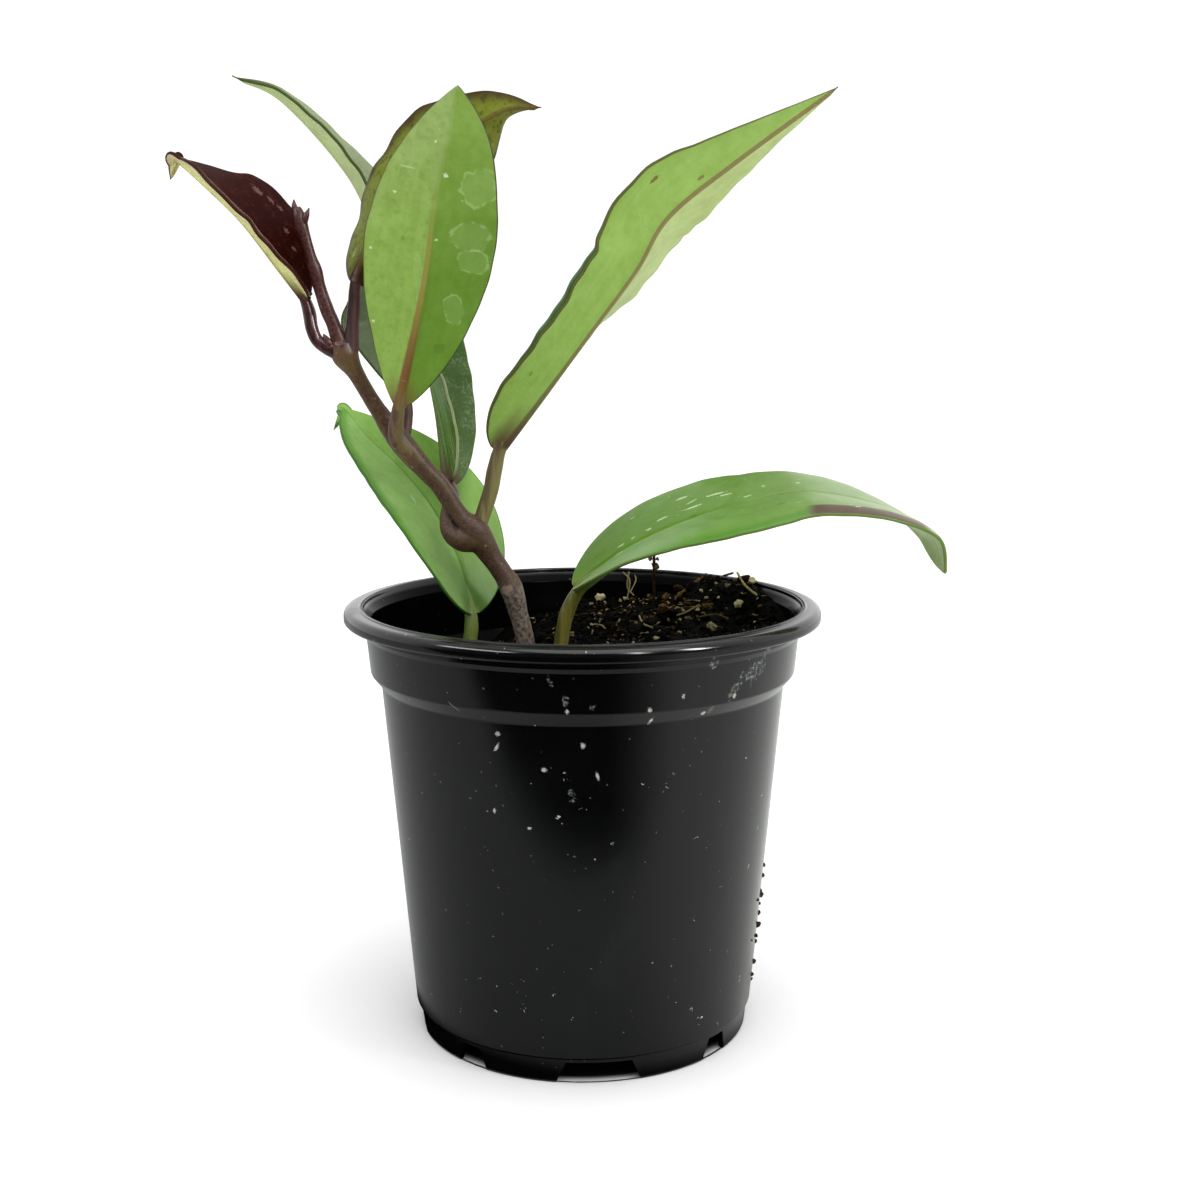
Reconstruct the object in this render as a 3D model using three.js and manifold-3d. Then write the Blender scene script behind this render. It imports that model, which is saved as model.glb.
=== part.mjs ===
// A young wax plant with eight pointed leaves, in a round black nursery pot.
// Millimetres, +Z up. The pot's axis is x = 0, y = 0 while the pieces are made, and its feet stand on z = 0.
// The viewer in front of the plant looks along +Y, with +X to the right.

import * as THREE from 'three';
import { mergeVertices } from 'three/addons/utils/BufferGeometryUtils.js';
import Module from 'manifold-3d';

const manifold = await Module();
manifold.setup();

// Driving dimensions of the pot
const POT_HEIGHT = 96.1;
const RIM_RADIUS = 52.5;
const OPENING_RADIUS = 48.4;
const LIP_HEIGHT = 3.3;
const LIP_OUTER_ROUND = 1.6;
const LIP_INNER_ROUND = 0.6;
const ROUND_STEPS = 2;
const COLLAR_RADIUS = 47.8;
const COLLAR_TAPER = 0.9;
const LEDGE_TOP = 81.7;
const LEDGE_BOTTOM = 78.9;
const BODY_TOP_RADIUS = 44.6;
const BODY_BOTTOM_RADIUS = 38.2;
const FOOT_TOP_RADIUS = 37.6;
const FOOT_RADIUS = 37;
const FOOT_HEIGHT = 5.5;
const FOOT_STEP = 0.5;
const FLOOR_UNDERSIDE = 6.4;
const FLOOR_TOP = 7.8;
const WALL = 1.2;
const INNER_RIM_HEIGHT = POT_HEIGHT - 3;
const POT_SIDES = 52;

// Gaps between the feet: a wide and a narrow one, four times round
const FOOT_GAP_PAIRS = 4;
const WIDE_GAP_ANGLE = 5.6;
const WIDE_GAP = { bottom: 18, top: 14 };
const NARROW_GAP = { bottom: 8, top: 5 };
const GAP_HEIGHT = 4.8;
const GAP_INNER_REACH = 30;
const GAP_OUTER_REACH = 40;
const DRAIN_HOLE_RADIUS = 4;
const DRAIN_HOLE_SIDES = 16;
const DRAIN_HOLE_RING = 27;
const DRAIN_HOLES = 4;

// How far a cutting shape runs past the surface that it opens, and how close two corners count as one
const CUT_PAST = 1;
const SAME_POINT = 1e-4;

// Driving dimensions of the potting mix, low on the left and heaped to the rim at the back right
const CLEARANCE = 0.3;
const STEM_HOLE_CLEARANCE = 0.38;
const MIX_LOW = 76;
const MIX_HIGH = 88;
const MIX_SLOPE_START = -34;
const MIX_SLOPE_END = 8;
const MIX_SLOPE_SKEW = 0.15;
const HEAP = { x: 33, y: 25, height: 5, spread: 13 };
const BROAD_LUMPS = { height: 0.8, waveX: 0.33, waveY: 0.29, shift: 1.3 };
const SMALL_LUMPS = { height: 0.5, waveX: 0.62, waveY: -0.51, shift: 0 };
const MIX_GRID = 17;
const MIX_HALF_WIDTH = 48;
const ABOVE_POT = POT_HEIGHT + 25;

// Crumbs and twigs that lie in its surface, and one dead stalk that stands up from it with a crumb on top
const GRAINS = { count: 20, ring: 39, smallest: 1.1, spread: 0.9, raised: 0.2 };
const TWIGS = {
  count: 6, fromX: 6, spanX: 30, fromY: -20, spanY: 48, shortest: 7, spanLength: 5, thick: 0.6, thin: 0.5,
  tilt: 0.5, raised: 0.1, sides: 5,
};
const STALK = { x: 16.5, y: 36, above: 11, below: 6, radius: 0.8, crumb: 1.9, sides: 6 };
const SEED = 41;
const RANDOM_STEP = 0x6d2b79f5;

// Steps of the leaf and stem surfaces
const BLADE_STEPS = 15;
const HALF_BLADE_STEPS = 4;
const BLADE_FIRST = 0.004;
const MIDRIB_THICKNESS = 1.7;
const MARGIN_THICKNESS = 0.8;
const NARROWEST_HALF_BLADE = 0.45;
const STEM_STEPS = 30;
const SHOOT_STEPS = 14;
const STEM_SIDES = 9;
const PETIOLE_STEPS_PER_POINT = 2;
const PETIOLE_SIDES = 7;
const BUD_SCALE_STEPS = 4;
const BUD_SCALE_SIDES = 5;

// The raised midrib under a blade: where it runs, how deep it lies and its radius as a share of the stalk's
const RIB_STATIONS = [0.02, 0.1, 0.2, 0.32];
const RIB_SHARES = [1, 0.75, 0.55, 0.4];
const RIB_DEPTH = 0.5;
const BUD_SCALE_MIDDLE = 0.8;
const BUD_SCALE_TIP = 0.15;

// The main stem leans to the left as it climbs. Radii go with the points.
const STEM = {
  points: [
    [-10, 4, 62], [-11.4, 3.5, 74], [-13, 3, 86.7], [-14.2, 3, 92], [-16, 3, 98.5], [-17.9, 3, 101.9],
    [-20.4, 3, 105.6], [-23.9, 2.5, 111.3], [-27.1, 2, 114.7], [-31.1, 1, 121.4], [-34.6, 0, 125.4],
    [-39.6, -1, 131.6], [-44.6, -1.6, 139], [-48.6, -2.8, 146.2], [-50.6, -3.6, 150], [-51.2, -4, 153],
  ],
  radii: [2, 2, 2.1, 2.1, 2.6, 2.4, 2.3, 3.1, 2.2, 2.1, 2.1, 2.6, 1.8, 1.85, 2.6, 2.2],
};

// The growing tip above the third pair of leaves, with the swelling of its next node and the closed bud
const SHOOT = {
  points: [
    [-51, -4, 150.5], [-52.7, -4.3, 156], [-54.2, -5, 160.1], [-55.4, -5.5, 164.3], [-56.3, -5.8, 168],
    [-57, -6, 170.7], [-57.9, -6, 174.1], [-58.7, -6, 176.4], [-59.2, -6, 178.7], [-59.7, -6, 180.8],
  ],
  radii: [1.9, 1.55, 1.5, 1.4, 1.6, 1.15, 1.2, 1.5, 1.5, 0.9],
};
const BUD_SCALES = [
  { from: [-58.6, -6.2, 176.8], to: [-56.9, -6.8, 180.6], radius: 0.8 },
  { from: [-59.5, -6, 179], to: [-60.2, -5.8, 182.3], radius: 0.8 },
  { from: [-53.2, -4.4, 151.6], to: [-55, -5, 154.6], radius: 0.9 },
];

// Leaves, from the soil up. The left and right halves are those seen on the upper side with the tip up.
// The turn is about the midrib: at 0 degrees the upper side faces the viewer, at 180 degrees the underside.
// A hook is the narrow end of a tip that bends back on itself, turned on by the hook turn.
// A half folds up from the midrib by fold, and its margin bends on by curl, downwards where that is negative.
const LEAVES = {
  leaf_low_left: {
    colour: 0x6fa05a,
    petiole: [[-25.5, 8.5, 66], [-26, 8.5, 76], [-25.8, 8, 85], [-25.4, 8, 89]],
    petioleRadius: 1.6,
    midrib: [
      [-24.9, 7.6, 91.4], [-28.9, 12.1, 104.1], [-34.8, 17.2, 114.5],
      [-42.3, 23.1, 122.7], [-51.3, 28.7, 130.3], [-57.3, 35, 136.2],
    ],
    hook: [[-58.6, 39.6, 134.6], [-60.8, 41, 131.1]],
    hookTurn: 0, hookHalfWidth: 1.7,
    halfWidth: 14.1, roundBase: 0.6, sharpTip: 0.97,
    turn: [-42, -43, -45, -44],
    leftFold: [16, 16], leftCurl: [12, 12],
    rightFold: [12, 12], rightCurl: [0, 0],
  },
  leaf_low_right: {
    colour: 0x6b9c55,
    petiole: [[-8, -1, 66], [-6.5, -1.5, 76], [-4.8, -2, 87], [-3.4, -2.5, 94]],
    petioleRadius: 1.6,
    midrib: [
      [-2, -3, 99], [10, -4, 108], [22, -5, 114], [34, -6, 118],
      [48, -6, 120.6], [64, -7, 117.8], [75.4, -7, 112], [78.5, -8, 103.5],
    ],
    halfWidth: 17, roundBase: 0.5, sharpTip: 0.85,
    turn: [74, 74, 76, 88, 112],
    leftFold: [12, 8, 5, 3, -14], leftCurl: [0, -20, -30],
    rightFold: [17, 12, 8, 4, -16], rightCurl: [20, -35, -10],
  },
  leaf_middle_left: {
    colour: 0x5a8048,
    petiole: [
      [-26, 2.6, 108.9], [-28.3, 3, 108.6], [-29.9, 3.8, 110.6],
      [-29.9, 4.8, 113.6], [-29.5, 7, 116.6], [-29.4, 9.5, 119],
    ],
    petioleRadius: 1.6,
    midrib: [
      [-30.1, 11, 120.9], [-32.4, 18, 134.7], [-35.5, 24, 148.9], [-36.6, 29, 163.1], [-36.7, 35, 177.3],
    ],
    halfWidth: 10.6, roundBase: 0.5, sharpTip: 0.8,
    turn: [-88, -74, -61, -59],
    leftFold: [36, 30], leftCurl: [0, 0],
    rightFold: [32, 30], rightCurl: [-8, 0],
  },
  leaf_middle_right: {
    colour: 0x93bf68,
    petiole: [[-23.3, 3, 111.6], [-21.9, 3, 115.6], [-20.3, 3, 120.5], [-19.4, 3, 124.9]],
    petioleRadius: 1.7,
    midrib: [
      [-19.2, 3, 129], [-9, 1, 142], [1, 0, 155], [11, -2, 168], [18, -5, 179], [32, -6, 190], [53, -6, 205],
    ],
    halfWidth: 16.5, roundBase: 0.62, sharpTip: 1.05,
    turn: [132, 124, 139, 158, 154],
    leftFold: [34, 34, 38], leftCurl: [-4, 0, 10],
    rightFold: [21, 13, 36], rightCurl: [-50, -100, 15],
  },
  leaf_upper_front: {
    colour: 0x86b45c,
    petiole: [[-38.6, -2.5, 129.8], [-39.9, -4.8, 132], [-39.7, -6.7, 135.4]],
    petioleRadius: 1.6,
    midrib: [
      [-39, -8, 138.5], [-35, -10, 155], [-32, -12, 169], [-30, -13, 181], [-27, -13, 194], [-25, -12, 204.5],
    ],
    halfWidth: 14, roundBase: 0.78, sharpTip: 0.88,
    turn: [187, 173, 182, 191],
    leftFold: [12, 10], leftCurl: [5, 0],
    rightFold: [12, 12], rightCurl: [7, 5],
  },
  leaf_upper_back: {
    colour: 0x8ba37a,
    petiole: [[-38.8, 0.5, 132.2], [-38.7, 3, 135.6], [-38.8, 5, 138.3]],
    petioleRadius: 1.4,
    midrib: [
      [-39.2, 7.2, 140.5], [-43, 13, 152], [-46, 18, 159], [-46.7, 20, 174],
      [-51.5, 21, 188.4], [-66.5, 21, 205.6], [-78, 21, 211],
    ],
    halfWidth: 11.4, roundBase: 0.86, sharpTip: 1.4,
    turn: [-1, -17, -62, -80, -61],
    leftFold: [25, 45], leftCurl: [2, -33],
    rightFold: [46, 22], rightCurl: [-6, -25],
  },
  leaf_top_right: {
    colour: 0x5c5630,
    petiole: [[-49.3, -4, 152], [-48.8, -4.5, 156.5], [-48.3, -4.6, 161]],
    petioleRadius: 1.35,
    midrib: [
      [-48, -5, 165], [-44, -3, 175], [-40, -2, 184], [-32, 0, 192],
      [-23, 2, 198], [-16, 5, 202], [-9, 11, 203],
    ],
    halfWidth: 14, roundBase: 0.59, sharpTip: 1.28,
    turn: [196, 199, 169, 163],
    leftFold: [25, 26, 10, 78], leftCurl: [1, 15],
    rightFold: [37, 36, 27, 36], rightCurl: [30, -2],
  },
  leaf_top_left: {
    colour: 0x4a2422,
    petiole: [[-52, -4, 151.4], [-54, -4, 151.6], [-56.4, -4, 153], [-57.6, -4, 156], [-58.1, -3.5, 159.1]],
    petioleRadius: 1.35,
    midrib: [
      [-58.2, -3.2, 161.8], [-63.7, -5.9, 169.2], [-69.9, -8, 177.5],
      [-75.5, -9.8, 183.3], [-83, -9.9, 190],
    ],
    hook: [[-84.3, -7.6, 189.2], [-85.6, -6.8, 186.4]],
    hookTurn: -60, hookHalfWidth: 2,
    halfWidth: 13.9, roundBase: 0.73, sharpTip: 0.83,
    turn: [-82, -78, -77, -89],
    leftFold: [28, 24], leftCurl: [-12, -20],
    rightFold: [28, 19], rightCurl: [-7, -3],
  },
};

// Random numbers from 0 to 1, the same series in every run
function randomSeries(seed) {
  let state = seed;
  return () => {
    state = (state + RANDOM_STEP) | 0;
    let mixed = Math.imul(state ^ (state >>> 15), 1 | state);
    mixed = (mixed + Math.imul(mixed ^ (mixed >>> 7), 61 | mixed)) ^ mixed;
    return ((mixed ^ (mixed >>> 14)) >>> 0) / 2 ** 32;
  };
}

function vectors(points) {
  return points.map(([x, y, z]) => new THREE.Vector3(x, y, z));
}

function curveThrough(points) {
  return new THREE.CatmullRomCurve3(vectors(points), false, 'catmullrom', 0.5);
}

// The value at t along a list of equally spaced values, on a smooth curve through them
function along(values, t) {
  return curveThrough(values.map((value) => [value, 0, 0])).getPoint(t).x;
}

function toSolid(geometry) {
  const bare = geometry.clone();
  bare.deleteAttribute('normal');
  bare.deleteAttribute('uv');
  const merged = mergeVertices(bare, SAME_POINT);
  return new manifold.Manifold(new manifold.Mesh({
    numProp: 3,
    vertProperties: Float32Array.from(merged.attributes.position.array),
    triVerts: Uint32Array.from(merged.index.array),
  }));
}

function toGeometry(solid) {
  const mesh = solid.getMesh();
  const geometry = new THREE.BufferGeometry();
  geometry.setAttribute('position', new THREE.BufferAttribute(mesh.vertProperties, 3));
  geometry.setIndex(new THREE.BufferAttribute(mesh.triVerts, 1));
  geometry.computeVertexNormals();
  return geometry;
}

function closedSurface(points, triangles) {
  const geometry = new THREE.BufferGeometry();
  const coordinates = points.flatMap((point) => point.toArray());
  geometry.setAttribute('position', new THREE.Float32BufferAttribute(coordinates, 3));
  geometry.setIndex(triangles);
  return toSolid(geometry);
}

function joined(solids) {
  return solids.reduce((whole, solid) => whole.add(solid));
}

// What is left of a piece once its neighbour's room is cut from it, without the scraps
function largestBody(solid) {
  const bodies = solid.decompose();
  return bodies.reduce((largest, body) => (body.volume() > largest.volume() ? body : largest));
}

// A round bar along a curve, with a radius for each of its points and two closed ends
function taperedBar(points, radii, steps, sides, extra = 0) {
  const curve = curveThrough(points);
  const frames = curve.computeFrenetFrames(steps, false);
  const ring = [];
  const triangles = [];
  for (let i = 0; i <= steps; i += 1) {
    const t = curve.getUtoTmapping(i / steps);
    let stretch = 0;
    if (i === 0) stretch = -extra;
    if (i === steps) stretch = extra;
    const centre = curve.getPoint(t).addScaledVector(frames.tangents[i], stretch);
    const radius = along(radii, t) + extra;
    for (let k = 0; k < sides; k += 1) {
      const angle = (2 * Math.PI * k) / sides;
      const across = frames.normals[i].clone().multiplyScalar(radius * Math.cos(angle));
      ring.push(across.addScaledVector(frames.binormals[i], radius * Math.sin(angle)).add(centre));
    }
  }
  for (let i = 0; i < steps; i += 1) {
    for (let k = 0; k < sides; k += 1) {
      const here = i * sides + k;
      const beside = i * sides + ((k + 1) % sides);
      triangles.push(here, beside, beside + sides, here, beside + sides, here + sides);
    }
  }
  const start = ring.push(curve.getPoint(0).addScaledVector(frames.tangents[0], -extra)) - 1;
  const end = ring.push(curve.getPoint(1).addScaledVector(frames.tangents[steps], extra)) - 1;
  for (let k = 0; k < sides; k += 1) {
    const next = (k + 1) % sides;
    triangles.push(start, next, k, end, steps * sides + k, steps * sides + next);
  }
  return closedSurface(ring, triangles);
}

// Places along a blade from 0 to 1, closer together at its base and tip, where the width changes fastest
function bladeStation(step) {
  const share = (1 - Math.cos((Math.PI * step) / BLADE_STEPS)) / 2;
  return THREE.MathUtils.lerp(BLADE_FIRST, 1, share);
}

function midribCurve(leaf) {
  return curveThrough([...leaf.midrib, ...(leaf.hook ?? [])]);
}

// How far along the blade t lies, and how far along the hook that may follow it, each from 0 to 1
function progress(leaf, t) {
  const hookSpans = leaf.hook ? leaf.hook.length : 0;
  const bladeSpans = leaf.midrib.length - 1;
  const bladeEnd = bladeSpans / (bladeSpans + hookSpans);
  const onBlade = Math.min(t / bladeEnd, 1);
  const onHook = hookSpans > 0 ? Math.max((t - bladeEnd) / (1 - bladeEnd), 0) : 0;
  return { onBlade, onHook };
}

function halfWidthAt(leaf, t) {
  const { onBlade, onHook } = progress(leaf, t);
  const widest = leaf.roundBase / (leaf.roundBase + leaf.sharpTip);
  const full = widest ** leaf.roundBase * (1 - widest) ** leaf.sharpTip;
  const width = (leaf.halfWidth * onBlade ** leaf.roundBase * (1 - onBlade) ** leaf.sharpTip) / full;
  const hookWidth = leaf.hook ? leaf.hookHalfWidth * (1 - onHook ** 2) : 0;
  return Math.max(width, hookWidth, NARROWEST_HALF_BLADE);
}

// The directions at t: along the midrib, across the blade to its right, and out of its upper side
function bladeFrame(leaf, midrib, t) {
  const { onBlade, onHook } = progress(leaf, t);
  const forward = midrib.getTangent(t);
  const level = new THREE.Vector3(0, 1, 0).cross(forward).normalize();
  const facing = level.clone().cross(forward);
  const turn = THREE.MathUtils.degToRad(along(leaf.turn, onBlade) + (leaf.hookTurn ?? 0) * onHook);
  const across = level.clone().multiplyScalar(Math.cos(turn)).addScaledVector(facing, Math.sin(turn));
  const upper = facing.clone().multiplyScalar(Math.cos(turn)).addScaledVector(level, -Math.sin(turn));
  return { across, upper };
}

// The points from the midrib to one margin, each with the direction out of the upper side there
function halfStation(leaf, midrib, t, side) {
  const { across, upper } = bladeFrame(leaf, midrib, t);
  const { onBlade } = progress(leaf, t);
  const fold = along(side > 0 ? leaf.rightFold : leaf.leftFold, onBlade);
  const curl = along(side > 0 ? leaf.rightCurl : leaf.leftCurl, onBlade);
  const stride = halfWidthAt(leaf, t) / HALF_BLADE_STEPS;
  const point = midrib.getPoint(t);
  const station = [];
  for (let k = 1; k <= HALF_BLADE_STEPS; k += 1) {
    const out = (k - 0.5) / HALF_BLADE_STEPS;
    const angle = THREE.MathUtils.degToRad(fold + curl * out ** 3);
    point.addScaledVector(across, side * stride * Math.cos(angle));
    point.addScaledVector(upper, stride * Math.sin(angle));
    const outward = upper.clone().multiplyScalar(Math.cos(angle));
    outward.addScaledVector(across, -side * Math.sin(angle));
    station.push({ point: point.clone(), outward, share: k / HALF_BLADE_STEPS });
  }
  return station;
}

// One blade: an upper and a lower skin with the same triangles, closed along the margin
function bladeSolid(leaf) {
  const midrib = midribCurve(leaf);
  const upperSkin = [];
  const lowerSkin = [];
  const columns = 2 * HALF_BLADE_STEPS + 1;
  for (let i = 0; i <= BLADE_STEPS; i += 1) {
    const t = bladeStation(i);
    const centre = { point: midrib.getPoint(t), outward: bladeFrame(leaf, midrib, t).upper, share: 0 };
    const left = halfStation(leaf, midrib, t, -1).reverse();
    const right = halfStation(leaf, midrib, t, 1);
    for (const { point, outward, share } of [...left, centre, ...right]) {
      const half = THREE.MathUtils.lerp(MIDRIB_THICKNESS, MARGIN_THICKNESS, Math.sqrt(share)) / 2;
      upperSkin.push(point.clone().addScaledVector(outward, half));
      lowerSkin.push(point.clone().addScaledVector(outward, -half));
    }
  }
  const below = upperSkin.length;
  const triangles = [];
  const quad = (a, b, c, d) => triangles.push(a, b, c, a, c, d);
  for (let i = 0; i < BLADE_STEPS; i += 1) {
    for (let k = 0; k < columns - 1; k += 1) {
      const a = i * columns + k;
      const b = a + 1;
      const c = b + columns;
      const d = a + columns;
      quad(a, b, c, d);
      triangles.push(below + a, below + c, below + b, below + a, below + d, below + c);
    }
    const left = i * columns;
    const right = left + columns - 1;
    quad(below + left, left, left + columns, below + left + columns);
    quad(right, below + right, below + right + columns, right + columns);
  }
  for (let k = 0; k < columns - 1; k += 1) {
    const first = k;
    const last = BLADE_STEPS * columns + k;
    quad(first + 1, first, below + first, below + first + 1);
    quad(last, last + 1, below + last + 1, below + last);
  }
  return closedSurface([...upperSkin, ...lowerSkin], triangles);
}

// The stalk, which runs on under the blade as the raised base of the midrib
function petioleSolid(leaf, extra = 0) {
  const midrib = midribCurve(leaf);
  const ribPoints = RIB_STATIONS.map((t) => {
    const { upper } = bladeFrame(leaf, midrib, t);
    return midrib.getPoint(t).addScaledVector(upper, -RIB_DEPTH).toArray();
  });
  const points = [...leaf.petiole, ...ribPoints];
  const stalkRadii = leaf.petiole.map(() => leaf.petioleRadius);
  const ribRadii = RIB_SHARES.map((share) => share * leaf.petioleRadius);
  const steps = PETIOLE_STEPS_PER_POINT * points.length;
  return taperedBar(points, [...stalkRadii, ...ribRadii], steps, PETIOLE_SIDES, extra);
}

function leafSolid(leaf) {
  return bladeSolid(leaf).add(petioleSolid(leaf));
}

function budScale({ from, to, radius }, extra) {
  const middle = from.map((value, axis) => (value + to[axis]) / 2);
  const radii = [radius, BUD_SCALE_MIDDLE * radius, BUD_SCALE_TIP * radius];
  return taperedBar([from, middle, to], radii, BUD_SCALE_STEPS, BUD_SCALE_SIDES, extra);
}

// The stem with its growing tip and buds, or the room that it takes with a clearance all round
function stemSolid(extra = 0) {
  const stem = taperedBar(STEM.points, STEM.radii, STEM_STEPS, STEM_SIDES, extra);
  const shoot = taperedBar(SHOOT.points, SHOOT.radii, SHOOT_STEPS, PETIOLE_SIDES, extra);
  return joined([stem, shoot, ...BUD_SCALES.map((scale) => budScale(scale, extra))]);
}

// Points on a rounded corner about a centre, from one angle to another in degrees
function roundedCorner(centreRadius, centreHeight, round, fromAngle, toAngle) {
  const corner = [];
  for (let step = 0; step <= ROUND_STEPS; step += 1) {
    const angle = THREE.MathUtils.degToRad(THREE.MathUtils.lerp(fromAngle, toAngle, step / ROUND_STEPS));
    corner.push([centreRadius + round * Math.cos(angle), centreHeight + round * Math.sin(angle)]);
  }
  return corner;
}

// The pot as one closed profile: foot ring, wall, collar and turned-down lip, then back down the inside
function potProfile() {
  const skirtInner = RIM_RADIUS - WALL;
  const collarTop = POT_HEIGHT - WALL;
  const lipBottom = POT_HEIGHT - LIP_HEIGHT;
  const outerCentre = RIM_RADIUS - LIP_OUTER_ROUND;
  const innerCentre = OPENING_RADIUS + LIP_INNER_ROUND;
  return [
    [0, FLOOR_UNDERSIDE],
    [FOOT_RADIUS - WALL, FLOOR_UNDERSIDE],
    [FOOT_RADIUS - WALL, 0],
    [FOOT_RADIUS, 0],
    [FOOT_TOP_RADIUS, FOOT_HEIGHT],
    [BODY_BOTTOM_RADIUS, FOOT_HEIGHT + FOOT_STEP],
    [BODY_TOP_RADIUS, LEDGE_BOTTOM],
    [COLLAR_RADIUS - COLLAR_TAPER, LEDGE_TOP],
    [COLLAR_RADIUS, collarTop],
    [skirtInner, collarTop],
    [skirtInner, lipBottom],
    [RIM_RADIUS, lipBottom],
    ...roundedCorner(outerCentre, POT_HEIGHT - LIP_OUTER_ROUND, LIP_OUTER_ROUND, 0, 90),
    ...roundedCorner(innerCentre, POT_HEIGHT - LIP_INNER_ROUND, LIP_INNER_ROUND, 90, 180),
    [COLLAR_RADIUS - WALL, INNER_RIM_HEIGHT],
    ...insideProfile(0),
  ];
}

// The inside of the wall below the collar and the floor, held in by a clearance for what fills the pot
function insideProfile(clearance) {
  const inward = WALL + clearance;
  return [
    [COLLAR_RADIUS - COLLAR_TAPER - inward, LEDGE_TOP + WALL / 3],
    [BODY_TOP_RADIUS - inward, LEDGE_BOTTOM + WALL / 3],
    [BODY_BOTTOM_RADIUS - inward, FLOOR_TOP + clearance],
    [0, FLOOR_TOP + clearance],
  ];
}

function latheSolid(profile) {
  const points = profile.map(([radius, height]) => new THREE.Vector2(radius, height));
  const geometry = new THREE.LatheGeometry(points, POT_SIDES);
  geometry.rotateX(Math.PI / 2);
  return toSolid(geometry);
}

// A wedge that opens downwards, pointing out from the pot's axis at an angle from the front
function footGap(angle, { bottom, top }) {
  const outline = new THREE.Shape();
  outline.moveTo(-bottom / 2, -CUT_PAST);
  outline.lineTo(bottom / 2, -CUT_PAST);
  outline.lineTo(top / 2, GAP_HEIGHT);
  outline.lineTo(-top / 2, GAP_HEIGHT);
  outline.closePath();
  const depth = GAP_OUTER_REACH - GAP_INNER_REACH;
  const geometry = new THREE.ExtrudeGeometry(outline, { depth, bevelEnabled: false });
  geometry.rotateX(Math.PI / 2);
  geometry.translate(0, -GAP_INNER_REACH, 0);
  geometry.rotateZ(THREE.MathUtils.degToRad(angle));
  return toSolid(geometry);
}

// A hole through the floor, in line with one of the wide gaps
function drainHole(angle) {
  const depth = FLOOR_TOP - FLOOR_UNDERSIDE + 2 * CUT_PAST;
  const drain = new THREE.CylinderGeometry(DRAIN_HOLE_RADIUS, DRAIN_HOLE_RADIUS, depth, DRAIN_HOLE_SIDES);
  drain.rotateX(Math.PI / 2);
  drain.translate(0, -DRAIN_HOLE_RING, (FLOOR_TOP + FLOOR_UNDERSIDE) / 2);
  drain.rotateZ(THREE.MathUtils.degToRad(angle));
  return toSolid(drain);
}

function potSolid() {
  let pot = latheSolid(potProfile());
  const pairAngle = 360 / FOOT_GAP_PAIRS;
  for (let pair = 0; pair < FOOT_GAP_PAIRS; pair += 1) {
    const turn = WIDE_GAP_ANGLE + pairAngle * pair;
    pot = pot.subtract(footGap(turn, WIDE_GAP));
    pot = pot.subtract(footGap(turn + pairAngle / 2, NARROW_GAP));
  }
  for (let hole = 0; hole < DRAIN_HOLES; hole += 1) {
    pot = pot.subtract(drainHole(WIDE_GAP_ANGLE + (360 / DRAIN_HOLES) * hole));
  }
  return pot;
}

function lumpHeight({ height, waveX, waveY, shift }, x, y) {
  return height * Math.sin(waveX * x + shift) * Math.cos(waveY * y);
}

// The height of the surface of the potting mix
function mixHeight(x, y) {
  const rise = THREE.MathUtils.smoothstep(x + MIX_SLOPE_SKEW * y, MIX_SLOPE_START, MIX_SLOPE_END);
  const fromHeap = ((x - HEAP.x) ** 2 + (y - HEAP.y) ** 2) / HEAP.spread ** 2;
  const slope = THREE.MathUtils.lerp(MIX_LOW, MIX_HIGH, rise);
  const lumps = lumpHeight(BROAD_LUMPS, x, y) + lumpHeight(SMALL_LUMPS, x, y);
  return slope + HEAP.height * Math.exp(-fromHeap) + lumps;
}

// A block whose top follows the height of the mix
function mixBlock() {
  const width = 2 * MIX_HALF_WIDTH;
  const geometry = new THREE.BoxGeometry(width, width, 1, MIX_GRID, MIX_GRID, 1);
  const position = geometry.attributes.position;
  for (let i = 0; i < position.count; i += 1) {
    const isTop = position.getZ(i) > 0;
    position.setZ(i, isTop ? mixHeight(position.getX(i), position.getY(i)) : FLOOR_TOP - CUT_PAST);
  }
  return toSolid(geometry);
}

function grainSolid(random) {
  const radius = GRAINS.smallest + GRAINS.spread * random();
  const reach = GRAINS.ring * Math.sqrt(random());
  const angle = 2 * Math.PI * random();
  const x = reach * Math.cos(angle);
  const y = reach * Math.sin(angle);
  const grain = new THREE.IcosahedronGeometry(radius, 0);
  grain.rotateX(random());
  grain.rotateZ(random());
  grain.translate(x, y, mixHeight(x, y) + GRAINS.raised * radius);
  return toSolid(grain);
}

function twigSolid(random) {
  const x = TWIGS.fromX + TWIGS.spanX * random();
  const y = TWIGS.fromY + TWIGS.spanY * random();
  const length = TWIGS.shortest + TWIGS.spanLength * random();
  const twig = new THREE.CylinderGeometry(TWIGS.thin, TWIGS.thick, length, TWIGS.sides);
  twig.rotateZ(Math.PI / 2);
  twig.rotateY(TWIGS.tilt * (random() - 0.5));
  twig.rotateZ(Math.PI * random());
  twig.translate(x, y, mixHeight(x, y) + TWIGS.raised);
  return toSolid(twig);
}

function stalkSolid() {
  const ground = mixHeight(STALK.x, STALK.y);
  const length = STALK.above + STALK.below;
  const stalk = new THREE.CylinderGeometry(STALK.radius, STALK.radius, length, STALK.sides);
  stalk.rotateX(Math.PI / 2);
  stalk.translate(STALK.x, STALK.y, ground + (STALK.above - STALK.below) / 2);
  const crumb = new THREE.IcosahedronGeometry(STALK.crumb, 0);
  crumb.translate(STALK.x, STALK.y, ground + STALK.above);
  return toSolid(stalk).add(toSolid(crumb));
}

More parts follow.
